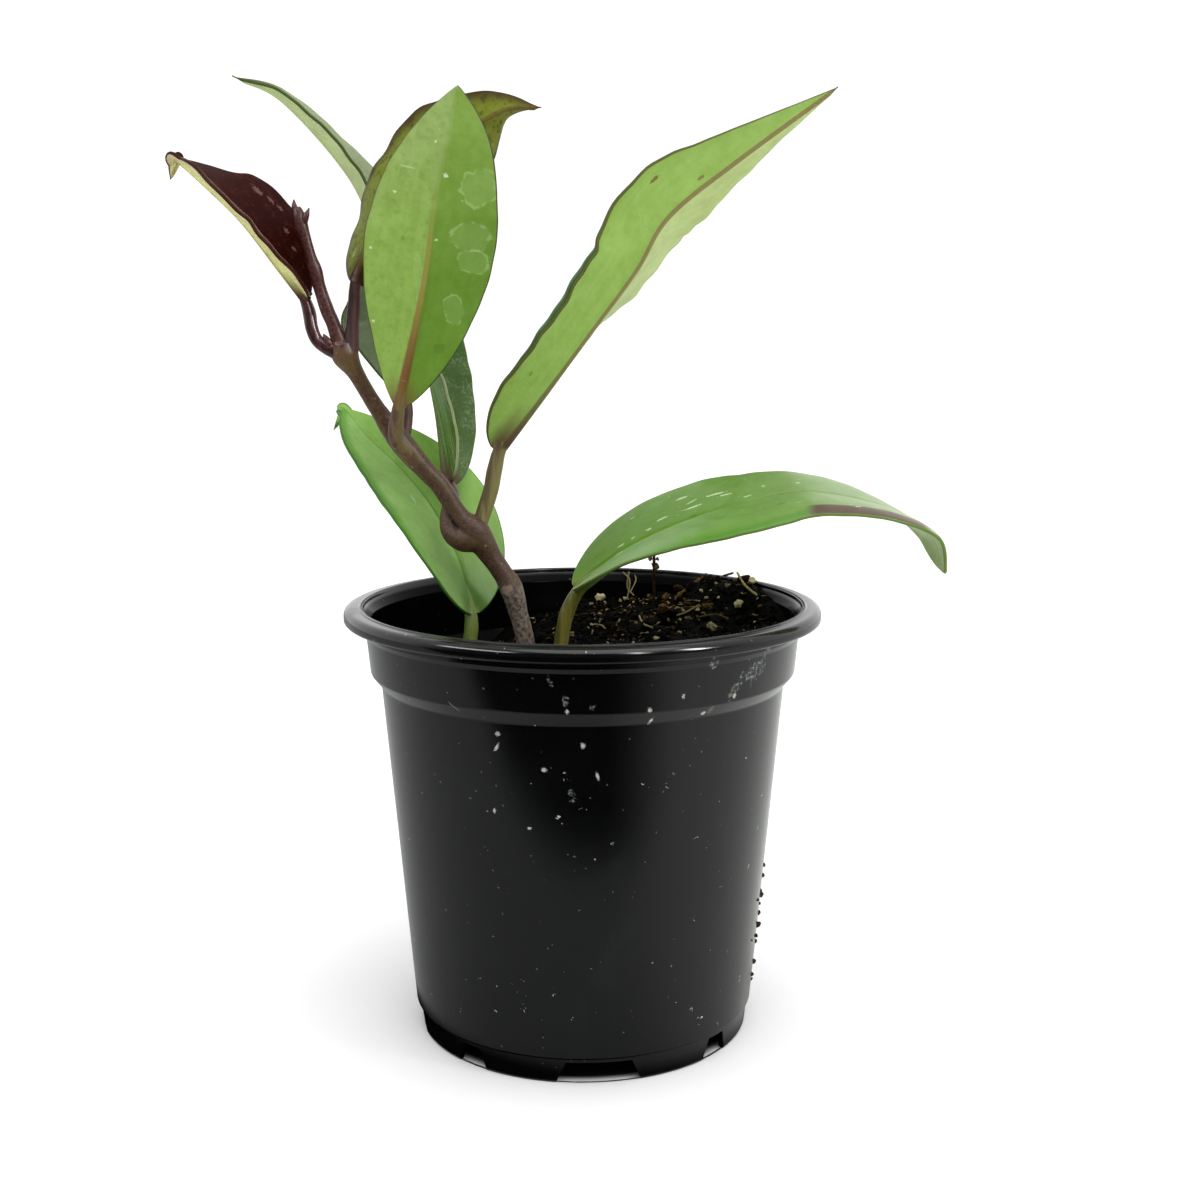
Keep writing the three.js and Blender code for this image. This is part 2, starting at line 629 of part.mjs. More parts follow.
// The mix fills the pot, with its crumbs and twigs grown in and a plain hole for each stem that stands in it
function pottingMixSolid(stems) {
  const random = randomSeries(SEED);
  const grains = Array.from({ length: GRAINS.count }, () => grainSolid(random));
  const twigs = Array.from({ length: TWIGS.count }, () => twigSolid(random));
  const filling = latheSolid([
    ...insideProfile(CLEARANCE).reverse(),
    [COLLAR_RADIUS - WALL - CLEARANCE, INNER_RIM_HEIGHT],
    [COLLAR_RADIUS - WALL - CLEARANCE, ABOVE_POT],
    [0, ABOVE_POT],
  ]);
  const heaped = joined([mixBlock(), ...grains, ...twigs, stalkSolid()]).intersect(filling);
  return largestBody(heaped.subtract(joined(stems)));
}

function named(name, solid, { color, roughness, metalness = 0 }) {
  const material = new THREE.MeshStandardMaterial({ color, roughness, metalness });
  const mesh = new THREE.Mesh(toGeometry(solid), material);
  mesh.name = name;
  return mesh;
}

const standingStems = [
  stemSolid(STEM_HOLE_CLEARANCE),
  petioleSolid(LEAVES.leaf_low_left, STEM_HOLE_CLEARANCE),
  petioleSolid(LEAVES.leaf_low_right, STEM_HOLE_CLEARANCE),
];

const plant = new THREE.Group();
plant.add(named('pot', potSolid(), { color: 0x17181a, roughness: 0.35 }));
plant.add(named('potting_mix', pottingMixSolid(standingStems), { color: 0x2b1e15, roughness: 1 }));
plant.add(named('main_stem', stemSolid(), { color: 0x513b3a, roughness: 0.6 }));

// Each leaf ends at the stem, a clearance away from it
const stemRoom = stemSolid(CLEARANCE);
for (const [name, leaf] of Object.entries(LEAVES)) {
  const seated = largestBody(leafSolid(leaf).subtract(stemRoom));
  plant.add(named(name, seated, { color: leaf.colour, roughness: 0.4 }));
}

// The whole stands with the middle of its box over the origin
const extent = new THREE.Box3().setFromObject(plant);
const middle = extent.getCenter(new THREE.Vector3());
plant.position.set(-middle.x, -middle.y, -extent.min.z);
plant.updateMatrixWorld(true);

const part = new THREE.Group();
part.add(plant);

export default part;
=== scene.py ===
import math

import bpy
import numpy as np
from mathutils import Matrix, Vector


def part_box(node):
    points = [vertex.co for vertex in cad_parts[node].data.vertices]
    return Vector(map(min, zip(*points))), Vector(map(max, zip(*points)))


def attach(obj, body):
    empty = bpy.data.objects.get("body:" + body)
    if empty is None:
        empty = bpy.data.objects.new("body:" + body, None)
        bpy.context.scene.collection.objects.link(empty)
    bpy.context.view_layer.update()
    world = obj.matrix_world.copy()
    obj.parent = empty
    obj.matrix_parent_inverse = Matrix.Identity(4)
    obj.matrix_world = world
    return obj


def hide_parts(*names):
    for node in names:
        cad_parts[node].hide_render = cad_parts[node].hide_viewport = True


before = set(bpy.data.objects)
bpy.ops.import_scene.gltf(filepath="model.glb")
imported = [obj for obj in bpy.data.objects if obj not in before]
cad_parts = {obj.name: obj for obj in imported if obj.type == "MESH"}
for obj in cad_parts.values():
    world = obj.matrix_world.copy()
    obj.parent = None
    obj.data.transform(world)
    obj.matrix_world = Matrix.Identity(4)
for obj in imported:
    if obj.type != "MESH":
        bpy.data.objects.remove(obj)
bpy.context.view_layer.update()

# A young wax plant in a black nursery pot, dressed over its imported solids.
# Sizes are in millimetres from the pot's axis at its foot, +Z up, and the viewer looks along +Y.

MM = 0.001
pot_low, pot_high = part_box("pot")
POT_AXIS = np.array([(pot_low.x + pot_high.x) / 2, (pot_low.y + pot_high.y) / 2, pot_low.z])

# Colour, from the eye's 0 to 255 scale to the renderer's linear one
def tint(red, green, blue):
    channels = [value / 255 for value in (red, green, blue)]
    linear = [c / 12.92 if c <= 0.04045 else ((c + 0.055) / 1.055) ** 2.4 for c in channels]
    return (*linear, 1.0)


def shaded(colour, factor):
    return (*[min(channel * factor, 1.0) for channel in colour[:3]], 1.0)


def both(red, green, blue):
    """One colour for the left and the right half of a leaf."""
    return (tint(red, green, blue), tint(red, green, blue))


def alike(style, *places):
    """Marks of one style, each with its place across and up, half its width and length, and its lean."""
    return [{"at": (x, y), "size": (wide, long), "lean": lean, **style} for x, y, wide, long, lean in places]


# Camera, at the photograph's place and angle
CAMERA_PLACE = (3.82, -356.3, 158.2)
CAMERA_DOWN = 0.1719
CAMERA_LENS = 48.94
CAMERA_SENSOR = 36
CAMERA_NEAR = 10
CAMERA_FAR = 20000

# Studio: a white room with a darker front, of which gloss shows a still darker one
WHITE_ROOM = 1.12
DIM_FRONT_OF_ROOM = 0.5
DARK_IN_GLOSS = 0.06
BACK_IN_GLOSS = 1.4
CEILING_IN_GLOSS = 0.5
# Where the room changes, by the depth or height of a direction of length 1, and the dark doorway at its back
FRONT_TO_BACK = (-0.35, 0.3)
GLOSS_FRONT_TO_BACK = (-0.62, 0.1)
GLOSS_WALL_TO_CEILING = (0.5, 0.9)
DARK_DOOR_SIDE = (0.1, 0.15)
DARK_DOOR_FOOT = (0.13, 0.06)
SUN_LIGHT = {"from_place": (60, -190, 700), "spread": 55, "strength": 2.1}
SIDE_LIGHT = {"place": (420, -260, 330), "size": (60, 60), "watts": 0.3}
GLOSS_LIGHTS = [
    {"place": (420, -280, 400), "size": (60, 200), "watts": 2.2},
    {"place": (215, -420, 420), "size": (45, 180), "watts": 0.8},
    {"place": (-470, -330, 520), "size": (420, 120), "watts": 2.6},
]
FLOOR_SIZE = 12000
# A sheet on the floor that only gloss sees: a painted dark reflection on the pot's front, with painted shade
# under the pot
FLAG = {"edge": 118, "soft": 22, "slant": 0.12, "near": 38, "near_soft": 6, "far": 4000, "height": 0.5}
FLAG_RIGHT = (12, 56)
FLAG_SECTORS = 72

# Pot
POT_HEIGHT = 96.1
RIM_RADIUS = 52.5
OPENING_RADIUS = 48.4
LIP_HEIGHT = 3.3
BEAD = {"height": 0.22, "foot": 1, "top": 0.7}
COLLAR_RADIUS = 47.8
COLLAR_TAPER = 0.9
FLARE = {"bottom": 90, "top": 91, "reach": 0.4}
LEDGE_TOP = 81.7
LEDGE_BOTTOM = 78.9
BODY_TOP_RADIUS = 44.6
BODY_BOTTOM_RADIUS = 38.2
FOOT_TOP_RADIUS = 37.6
FOOT_RADIUS = 37
FOOT_HEIGHT = 5.5
FOOT_STEP = 0.5
FLOOR_UNDERSIDE = 6.4
FLOOR_TOP = 7.8
WALL = 1.2
INNER_RIM_HEIGHT = POT_HEIGHT - 3
POT_SIDES = 192
ARC_STEPS = 6
WIDE_GAP_ANGLE = 5.6
WIDE_GAP = (18, 14)
NARROW_GAP = (8, 5)
GAP_HEIGHT = 4.8
DRAIN_RADIUS = 4
DRAIN_RING = 27
DRILL_LENGTH = 6
DRILL_START = 2
SHARP_EDGE = 35
INSIDE_MATTE = (95.6, 94.4)

# Dried water and stuck crumbs on the pot, in degrees to the right of its front and millimetres of height
WATER = {"crust": 1.1, "strength": 0.5, "wobble": 1.6, "grain": 0.7, "colour": tint(162, 166, 170)}
CRUMB = {"strength": 0.85, "wobble": 3.6, "grain": 3.4, "colour": tint(85, 72, 56)}
PALE_CRUMB = {"strength": 0.8, "wobble": 4.4, "grain": 4.6, "colour": tint(188, 186, 177)}
STUCK_FIBRE = {"strength": 0.5, "wobble": 0.3, "colour": tint(149, 149, 144)}
POT_MARKS = [
    *alike(
        WATER, (50.5, 88, 1.6, 2.1, -30), (46, 86.6, 1.5, 1.2, 0), (41.5, 84.6, 1.1, 3.6, -38),
        (33.5, 90.5, 1.2, 1.2, 0), (52.5, 91, 1.4, 0.8, 0), (-3.5, 84.6, 0.8, 1.1, 0),
        (2.8, 83.4, 0.6, 1.1, -25), (-7.2, 88.6, 0.5, 1.2, 20), (-2.4, 64.4, 0.9, 1.5, 10),
        (48, 87, 2.2, 2.6, -35),
    ),
    *alike(
        PALE_CRUMB, (-3.2, 82.4, 0.3, 0.4, 0), (-21.9, 76.5, 0.5, 0.4, 0), (-22.4, 73.6, 0.3, 0.8, -35),
        (-9.6, 69.6, 0.5, 0.4, 0), (0.6, 74.8, 0.4, 0.5, 30), (4.4, 68.4, 0.3, 0.7, 20),
        (41.2, 82.9, 0.4, 0.5, 0), (32.6, 80, 0.5, 0.4, 0), (16.8, 82.2, 0.4, 0.4, 0),
        (17.8, 79.6, 0.3, 0.6, -20), (25.5, 84.5, 0.3, 0.4, 0), (-24, 60, 0.3, 0.4, 0),
        (-14, 57, 0.4, 0.3, 0),
    ),
    *alike(STUCK_FIBRE, (-33, 81.6, 0.09, 1.5, 50)),
    *alike(
        CRUMB, (40.3, 84.2, 0.5, 0.6, 0), (34.4, 80.6, 0.6, 0.8, 0), (74.2, 30.7, 0.8, 1.4, 0),
        (68.9, 36.7, 0.5, 0.7, 0), (71.3, 22, 0.7, 1.2, 0), (66.6, 9, 0.8, 0.6, 0),
    ),
]

# Soil crumbs stuck low on the pot's right: their degrees, height and size
POT_CRUMBS = [
    (84, 36.5, 0.5), (86, 33.6, 0.7), (82, 31, 0.45), (85, 29.4, 0.8), (83, 27.6, 0.5), (86, 24.8, 0.6),
    (84, 22.3, 0.8), (80, 20.8, 0.4), (85, 18.2, 0.55), (84, 13.6, 0.7), (81, 11.4, 0.5), (85, 9, 0.4),
    (74.2, 30.7, 0.4), (71.3, 22, 0.35),
]
POT_CRUMB_SKIN = {"grain": 900.0, "raggedness": 1.2 * MM}

# Potting mix, low on the left and heaped to the rim at the back right
MIX_LOW = 76
MIX_HIGH = 88
MIX_SLOPE_START = -34
MIX_SLOPE_END = 8
MIX_SLOPE_SKEW = 0.15
HEAP = {"x": 33, "y": 25, "height": 4, "spread": 13}
BANK = {"turn": 32, "half_turn": 36, "height": 4.6, "start": 34, "end": 45}
BROAD_LUMPS = {"height": 0.8, "wave_x": 0.33, "wave_y": 0.29, "shift": 1.3}
SMALL_LUMPS = {"height": 0.5, "wave_x": 0.62, "wave_y": -0.51, "shift": 0}
MIX_GAP = 0.1
BIT_LIFT = 0.9
MIX_RINGS = 70
LARGEST_COPY = 1.3
CRUMB_SPREAD = {"low": 0.3, "rarity": 5.0, "tones": (0.0, 0.78), "wall_gap": 0.2}
LUMP_SPREAD = {"low": 0.4, "rarity": 3.0, "tones": (0.0, 0.44), "wall_gap": 1.2}
FIBRE_SPREAD = {"low": 0.3, "rarity": 1.6, "tones": (0.3, 0.76), "wall_gap": 1.0, "lying": True}
PITTING = 2.2
MIX_SKIN = {
    "relief": 2.6 * MM, "crumb_radius": 0.6 * MM, "crumb_density": 4e5, "lump_radius": 1.6 * MM,
    "lump_density": 3e4, "fibre_length": 4.2 * MM, "fibre_radius": 0.09 * MM, "fibre_density": 7.5e4,
    "seed": 7,
}
BIT_SKIN = {"grain": 620.0, "raggedness": 2.6 * MM}
TWIG_SKIN = {"sides": 8, "bark_scale": 900.0, "bark_depth": 0.3 * MM}
MIX_SECTORS = 150
# Larger bits that lie on the mix: their place seen from above, size, and tone from black peat to perlite
BITS = [
    {"at": (3.8, 43), "size": (1.35, 1.3, 1.2), "tone": 0.85},
    {"at": (35.8, 15.3), "size": (1.5, 1.1, 1), "tone": 0.84},
    {"at": (26.6, 16.9), "size": (0.7, 0.7, 0.7), "tone": 1.0},
    {"at": (29.1, 5), "size": (1.3, 1, 1), "tone": 0.8},
    {"at": (40, 26), "size": (1, 1, 0.9), "tone": 0.86},
    {"at": (10.1, 44), "size": (0.8, 0.6, 0.5), "tone": 0.84},
    {"at": (16.1, -6.7), "size": (0.7, 0.6, 0.5), "tone": 0.84},
    {"at": (28.1, 27.1), "size": (0.4, 0.4, 0.4), "tone": 1.0},
    {"at": (31.6, 21.4), "size": (0.35, 0.4, 0.4), "tone": 1.0},
    {"at": (18.6, 19.2), "size": (1.7, 1.2, 1.2), "tone": 0.58},
    {"at": (20, 36), "size": (1.3, 1.1, 0.9), "tone": 0.46},
    {"at": (-18, 16), "size": (1.1, 1, 0.8), "tone": 0.62},
    {"at": (-3, 9), "size": (1.1, 0.8, 0.6), "tone": 0.7},
    {"at": (38, 27), "size": (1.8, 1.6, 1), "tone": 0.38},
    {"at": (30, 34), "size": (1.6, 1.4, 1), "tone": 0.38},
    {"at": (23, 38), "size": (1.4, 1.2, 0.9), "tone": 0.4},
]

# Twigs and roots on the mix, from one place to another, each place with its height over the mix
TWIGS = [
    {"ends": ((22, 33, 1), (30, 40, 4)), "sag": 0.6, "radius": 0.42, "tone": 0.6},
    {"ends": ((36, 22, 3.2), (40, 14, 2.6)), "sag": -0.4, "radius": 0.26, "tone": 0.74},
    {"ends": ((21.7, 16, 1), (27, 18, 1.6)), "sag": -0.6, "radius": 0.18, "tone": 0.78},
    {"ends": ((13, 20.6, 1.4), (15.6, 4, 1.2)), "sag": -0.5, "radius": 0.2, "tone": 0.78},
    {"ends": ((9.5, 43, 7.5), (10.5, 42, 1)), "sag": 1.2, "radius": 0.2, "tone": 0.72},
    {"ends": ((11, 43, 8), (12.2, 42, 2)), "sag": -1, "radius": 0.18, "tone": 0.74},
    {"ends": ((12.4, 43, 7), (11.4, 41, 3)), "sag": 0.8, "radius": 0.14, "tone": 0.76},
    {"ends": ((2.5, 12, 1), (5, 4, 1.2)), "sag": 0.3, "radius": 0.16, "tone": 0.78},
    {"ends": ((30, 42, 1.5), (36, 34, 3)), "sag": 0.6, "radius": 0.3, "tone": 0.5},
    {"ends": ((26, 12, 1), (33, 9, 1.4)), "sag": 0.8, "radius": 0.2, "tone": 0.64},
]
STANDING_STALK = {"place": (17, 37), "above": 12, "below": 3, "radius": 0.35, "tone": 0.4, "crumb_tone": 0.6}
STALK_CRUMBS = ((0.2, 9.4, 0.9), (-0.8, 11.2, 0.7), (0.8, 11, 0.6), (0.2, 12.2, 0.7))

# Stem, shoot and leaf stalks
STALK_SIDES = 22
STALK_STEP = 0.45
STEM_SKIN = {"sides": STALK_SIDES, "bark_scale": 420.0, "bark_depth": 0.3 * MM}
PETIOLE_SKIN = {"sides": STALK_SIDES, "bark_scale": 380.0, "bark_depth": 0.16 * MM}

STEM = {
    "points": [
        (-10, 4, 62), (-11.4, 3.5, 74), (-13, 3, 86.7), (-14.2, 3, 92), (-16, 3, 98.5), (-17.9, 3, 101.9),
        (-20.4, 3, 105.6), (-23.9, 2.5, 111.3), (-27.1, 2, 114.7), (-31.1, 1, 121.4), (-34.6, 0, 125.4),
        (-39.6, -1, 131.6), (-44.6, -1.6, 139), (-48.6, -2.8, 146.2), (-50.6, -3.6, 150), (-51.2, -4, 153),
    ],
    "radii": [2, 2, 2.1, 2.1, 2.6, 2.3, 2.4, 3.3, 2.2, 2.1, 2.2, 2.6, 1.8, 1.85, 2.9, 2.4],
}
SHOOT = {
    "points": [
        (-51, -4, 150.5), (-52.7, -4.3, 156), (-54.2, -5, 160.1), (-55.4, -5.5, 164.3), (-56.3, -5.8, 168),
        (-57, -6, 170.7), (-57.9, -6, 174.1), (-58.7, -6, 176.4), (-59.2, -6, 178.7), (-59.7, -6, 180.8),
    ],
    "radii": [1.9, 1.55, 1.5, 1.4, 1.6, 1.15, 1.2, 1.5, 1.5, 0.9],
}
# Where the bark is golden under the nodes, the scar and ridge at the knee by the soil, and painted shade in
# the slit beside the middle left leaf's knee
STEM_SPOTS = [
    {"at": (-50.4, -6, 149), "reach": 4, "strength": 0.45, "colour": (106, 88, 48)},
    {"at": (-37.6, -3, 128), "reach": 3.4, "strength": 0.5, "colour": (104, 84, 46)},
    {"at": (-16.8, 0.6, 98.4), "reach": 1.5, "strength": 0.7, "colour": (170, 146, 124)},
    {"at": (-12.8, 1, 98.8), "reach": 2, "strength": 0.5, "colour": (150, 134, 118)},
    # Painted shade: a dark line in the slit between the stem and the middle left leaf's knee
    {"at": (-28.9, 0.9, 115), "reach": 0.9, "strength": 0.8, "colour": (22, 12, 10)},
    {"at": (-28.5, 0.7, 113.8), "reach": 0.9, "strength": 0.9, "colour": (22, 12, 10)},
    {"at": (-28, 0.5, 112.6), "reach": 0.9, "strength": 0.8, "colour": (22, 12, 10)},
]
# The knee of the middle left leaf's stalk, grown together with the stem; the slit beside it is only painted
# shade on the bark
KNEE = {
    "points": [
        (-20.6, 3, 106.6), (-23.4, 2.2, 109.2), (-26.6, 1.9, 109.6), (-29.1, 2.6, 111.2), (-29.8, 3.6, 114),
        (-29.4, 4.6, 117), (-30.2, 3.4, 119.6),
    ],
    "radii": [2.1, 2.7, 2.7, 2.3, 2, 1.9, 1.7],
}
STEM_GRAIN = 0.28
STEM_SMOOTHING = 7
BUD_SCALES = [
    {"points": [(-58.6, -6.2, 176.8), (-57.6, -6.9, 178.9), (-56.9, -6.8, 180.6)], "radii": [0.8, 0.7, 0.12]},
    {"points": [(-59.5, -6, 179), (-60.1, -6.1, 180.8), (-60.2, -5.8, 182.3)], "radii": [0.8, 0.6, 0.12]},
    {"points": [(-53.2, -4.4, 151.6), (-54.2, -4.9, 153.2), (-55, -5, 154.6)], "radii": [0.9, 0.75, 0.14]},
]

# Leaf blades
BLADE_ROWS = 120
HALF_BLADE_COLUMNS = 20
COLUMN_CROWDING = 0.78
BLADE_FIRST = 0.004
MIDRIB_THICKNESS = 1.3
MARGIN_THICKNESS = 0.8
MARGIN_ROUND = 0.5
NARROWEST_HALF_BLADE = 0.14
RIDGE_HEIGHT = 0.75
RIDGE_TIP_RADIUS = 0.3
GROOVE = {"depth": 0.3, "width": 0.6}
RIB_STATIONS = (0.02, 0.1, 0.2)
RIB_SHARES = (0.8, 0.42, 0.15)
RIB_DEPTHS = (0.5, 0.5, 0.3)
RIB_BARE = (0.75, 0.3, 0)
RIB_RUN = (1.5, 7, 14)
RIB_RIM = 4
LONG_BLADE = 80
PETIOLE_FOOT = 1.25
STALK_FADE = 2.5
STALK_SHARE = 0.8
RIPPLES = {"wave": 0.45, "apart": 1.7, "short_wave": 0.97, "short_share": 0.6, "shift": 0.5}

# The left and right halves are those seen on the upper side with the tip up. The turn is about the midrib:
# at 0 degrees the upper side faces the viewer, at 180 degrees the underside. A half folds up from the midrib
# by fold, and its margin bends on by curl. A hook is the narrow end of a tip that bends back on itself.
LEAVES = {
    "leaf_low_left": {
        "petiole": [(-25.5, 8.5, 66), (-26, 8.5, 76), (-25.8, 8, 85), (-25.4, 8, 89)],
        "petiole_radius": 1.6,
        "midrib": [
            (-24.9, 7.6, 91.4), (-28.9, 12.1, 104.1), (-34.8, 17.2, 114.5),
            (-42.3, 23.1, 122.7), (-51.3, 28.7, 130.3), (-57.3, 35, 136.2),
        ],
        "hook": [(-58.6, 39.6, 134.6), (-60.8, 41, 131.1)], "hook_turn": 0, "hook_half_width": 1.7,
        "half_width": 14.1, "round_base": 0.6, "sharp_tip": 0.97,
        "turn": (-42, -43, -45, -44),
        "left_fold": (16, 16), "left_curl": (12, 12), "right_fold": (12, 12), "right_curl": (0, 0),
        "wave": 0.08,
    },
    "leaf_low_right": {
        "petiole": [(-8, -1, 66), (-6.5, -1.5, 76), (-4.8, -2, 87), (-3.4, -2.5, 94)],
        "petiole_radius": 1.6,
        "midrib": [
            (-2, -3, 99), (10, -4, 108), (22, -5, 114), (34, -6, 118),
            (48, -6, 120.6), (64, -7, 117.8), (75.4, -7, 112), (78.5, -8, 103.5),
        ],
        "half_width": 17, "round_base": 0.5, "sharp_tip": 0.85,
        "turn": (74, 74, 76, 88, 112),
        "left_fold": (12, 8, 5, 3, -14), "left_curl": (0, -20, -30),
        "right_fold": (17, 12, 8, 4, -16), "right_curl": (20, -35, -10),
        "wave": 0.08,
    },
    "leaf_middle_left": {
        "petiole": [
            (-26.6, 3.6, 110.2), (-28.6, 4, 111.6), (-29.8, 5, 113.8), (-29.6, 7, 116.8), (-29.4, 9.5, 119),
        ],
        "petiole_radius": 1.6, "petiole_radii": [1.4, 1.6, 1.7, 1.7, 1.6],
        "midrib": [
            (-30.1, 11, 120.9), (-32.4, 18, 134.7), (-35.5, 24, 148.9), (-36.6, 29, 163.1),
            (-36.7, 35, 177.3),
        ],
        "half_width": 10.6, "round_base": 0.5, "sharp_tip": 0.8,
        "turn": (-88, -74, -61, -59),
        "left_fold": (36, 30), "left_curl": (0, 0), "right_fold": (32, 30), "right_curl": (-8, 0),
        "wave": 0.2,
    },
    "leaf_middle_right": {
        "petiole": [
            (-24, 2.6, 109.2), (-23, 2.8, 112.2), (-21.9, 3, 115.6), (-20.3, 3, 120.5), (-19.4, 3, 124.9),
        ],
        "petiole_radius": 1.7,
        "midrib": [
            (-19.2, 3, 129), (-9, 1, 142), (1, 0, 155), (11, -2, 168), (18, -5, 179), (32, -6, 190),
            (53, -6, 205),
        ],
        "half_width": 16.5, "round_base": 0.62, "sharp_tip": 1.05,
        "turn": (132, 124, 139, 158, 154),
        "left_fold": (34, 34, 38), "left_curl": (-4, 0, 10),
        "right_fold": (21, 13, 36), "right_curl": (-50, -100, 15),
        "wave": 0.3,
    },
    "leaf_upper_front": {
        "petiole": [(-36.9, 0, 127.6), (-38.6, -2.7, 129.8), (-39.9, -4.8, 132), (-39.7, -6.7, 135.4)],
        "petiole_radius": 1.6,
        "midrib": [
            (-39, -8, 138.5), (-35, -10, 155), (-32, -12, 169), (-30, -13, 181), (-27, -13, 194),
            (-25, -12, 204.5),
        ],
        "half_width": 14, "round_base": 0.78, "sharp_tip": 0.88,
        "turn": (187, 173, 182, 191),
        "left_fold": (12, 10), "left_curl": (5, 0), "right_fold": (12, 12), "right_curl": (7, 5),
        "wave": 0.2,
    },
    "leaf_upper_back": {
        "petiole": [(-38.6, -0.6, 129.8), (-38.8, 0.9, 132.4), (-38.7, 3, 135.6), (-38.8, 5, 138.3)],
        "petiole_radius": 1.4,
        "midrib": [
            (-39.2, 7.2, 140.5), (-43, 13, 152), (-46, 18, 159), (-46.7, 20, 174),
            (-51.5, 21, 188.4), (-66.5, 21, 205.6), (-78, 21, 211),
        ],
        "half_width": 11.4, "round_base": 0.86, "sharp_tip": 1.4,
        "turn": (-1, -17, -62, -80, -61),
        "left_fold": (25, 45), "left_curl": (2, -33), "right_fold": (46, 22), "right_curl": (-6, -25),
        "wave": 0.2,
    },
    "leaf_top_right": {
        "petiole": [(-50, -3.8, 148), (-49.4, -4, 151.8), (-48.8, -4.5, 156.5), (-48.3, -4.6, 161)],
        "petiole_radius": 1.35, "petiole_radii": [1.5, 1.75, 1.4, 1.4],
        "midrib": [
            (-48, -5, 165), (-44, -3, 175), (-40, -2, 184), (-32, 0, 192),
            (-23, 2, 198), (-16, 5, 202), (-9, 11, 203),
        ],
        "half_width": 14, "round_base": 0.59, "sharp_tip": 1.28,
        "turn": (196, 199, 169, 163),
        "left_fold": (25, 26, 10, 78), "left_curl": (1, 15),
        "right_fold": (37, 36, 27, 36), "right_curl": (30, -2),
        "wave": 0.35,
    },
    "leaf_top_left": {
        "petiole": [
            (-50.6, -4, 149.6), (-52.6, -4, 151), (-54.6, -4, 151.8), (-56.6, -4, 153.4),
            (-57.6, -4, 156), (-58.1, -3.5, 159.1),
        ],
        "petiole_radius": 1.35, "petiole_radii": [2, 1.8, 1.5, 1.35, 1.35, 1.4],
        "midrib": [
            (-58.2, -3.2, 161.8), (-63.7, -5.9, 169.2), (-69.9, -8, 177.5),
            (-75.5, -9.8, 183.3), (-83, -9.9, 190),
        ],
        "hook": [(-84.3, -7.6, 189.2), (-85.6, -6.8, 186.4)], "hook_turn": -60, "hook_half_width": 2,
        "half_width": 13.9, "round_base": 0.73, "sharp_tip": 0.83,
        "turn": (-82, -78, -77, -89),
        "left_fold": (28, 24), "left_curl": (-12, -20), "right_fold": (28, 19), "right_curl": (-7, -3),
        "wave": 0.25,
    },
}


# What each leaf looks like on its upper side and its underside, with the halves named as for the folds.
# A mark is a spot, a stain with a rim or a fleck, at so many millimetres across from the midrib and along it.
# A band is a strip along one margin. Tones are the brightness at the base and at the tip. Patterns are in
# waves a millimetre, and the darker and the lighter skin each have a brightness and a saturation.
STAIN = {"inside": 0.3, "strength": 0.42, "wobble": 0.9, "grain": 0.3, "colour": tint(158, 190, 122)}
FLECK = {"strength": 0.75, "wobble": 3.2, "grain": 3.4, "colour": tint(200, 216, 172)}
UPPER_FLECK = {**FLECK, "upper": True}
SILVER = {"upper": True, "strength": 0.4, "wobble": 3.4, "grain": 2.4, "colour": tint(150, 112, 108)}
GREEN_SPOT = {"wobble": 2, "strength": 0.5, "colour": tint(96, 116, 50)}
TO_TIP = 200
BROAD_PATTERN = {"scale": 0.11, "detail": 3.0, "roughness": 0.55}
CLOUD_PATTERN = {"scale": 0.36, "detail": 4.0, "roughness": 0.6}
FINE_PATTERN = {"scale": 0.9, "detail": 4.0, "roughness": 0.65}
STREAK_STRETCH = (0.8, 0.09, 1.0)
STREAK_SCALE = 0.9
TONE_SHARES = (0.35, 0.35, 0.2, 0.1)
DARKER_SKIN = (0.85, 1.05)
LIGHTER_SKIN = (1.1, 0.97)
VEIN_SPACING = 6.5
VEIN_SLANT = 0.75
VEIN_BEND = 9.0
VEIN_FADE = (0.8, 3.5)
VEIN_STRENGTH = 0.22
STALK_GLOSS = 0.3
LEAF_RELIEF = 0.1
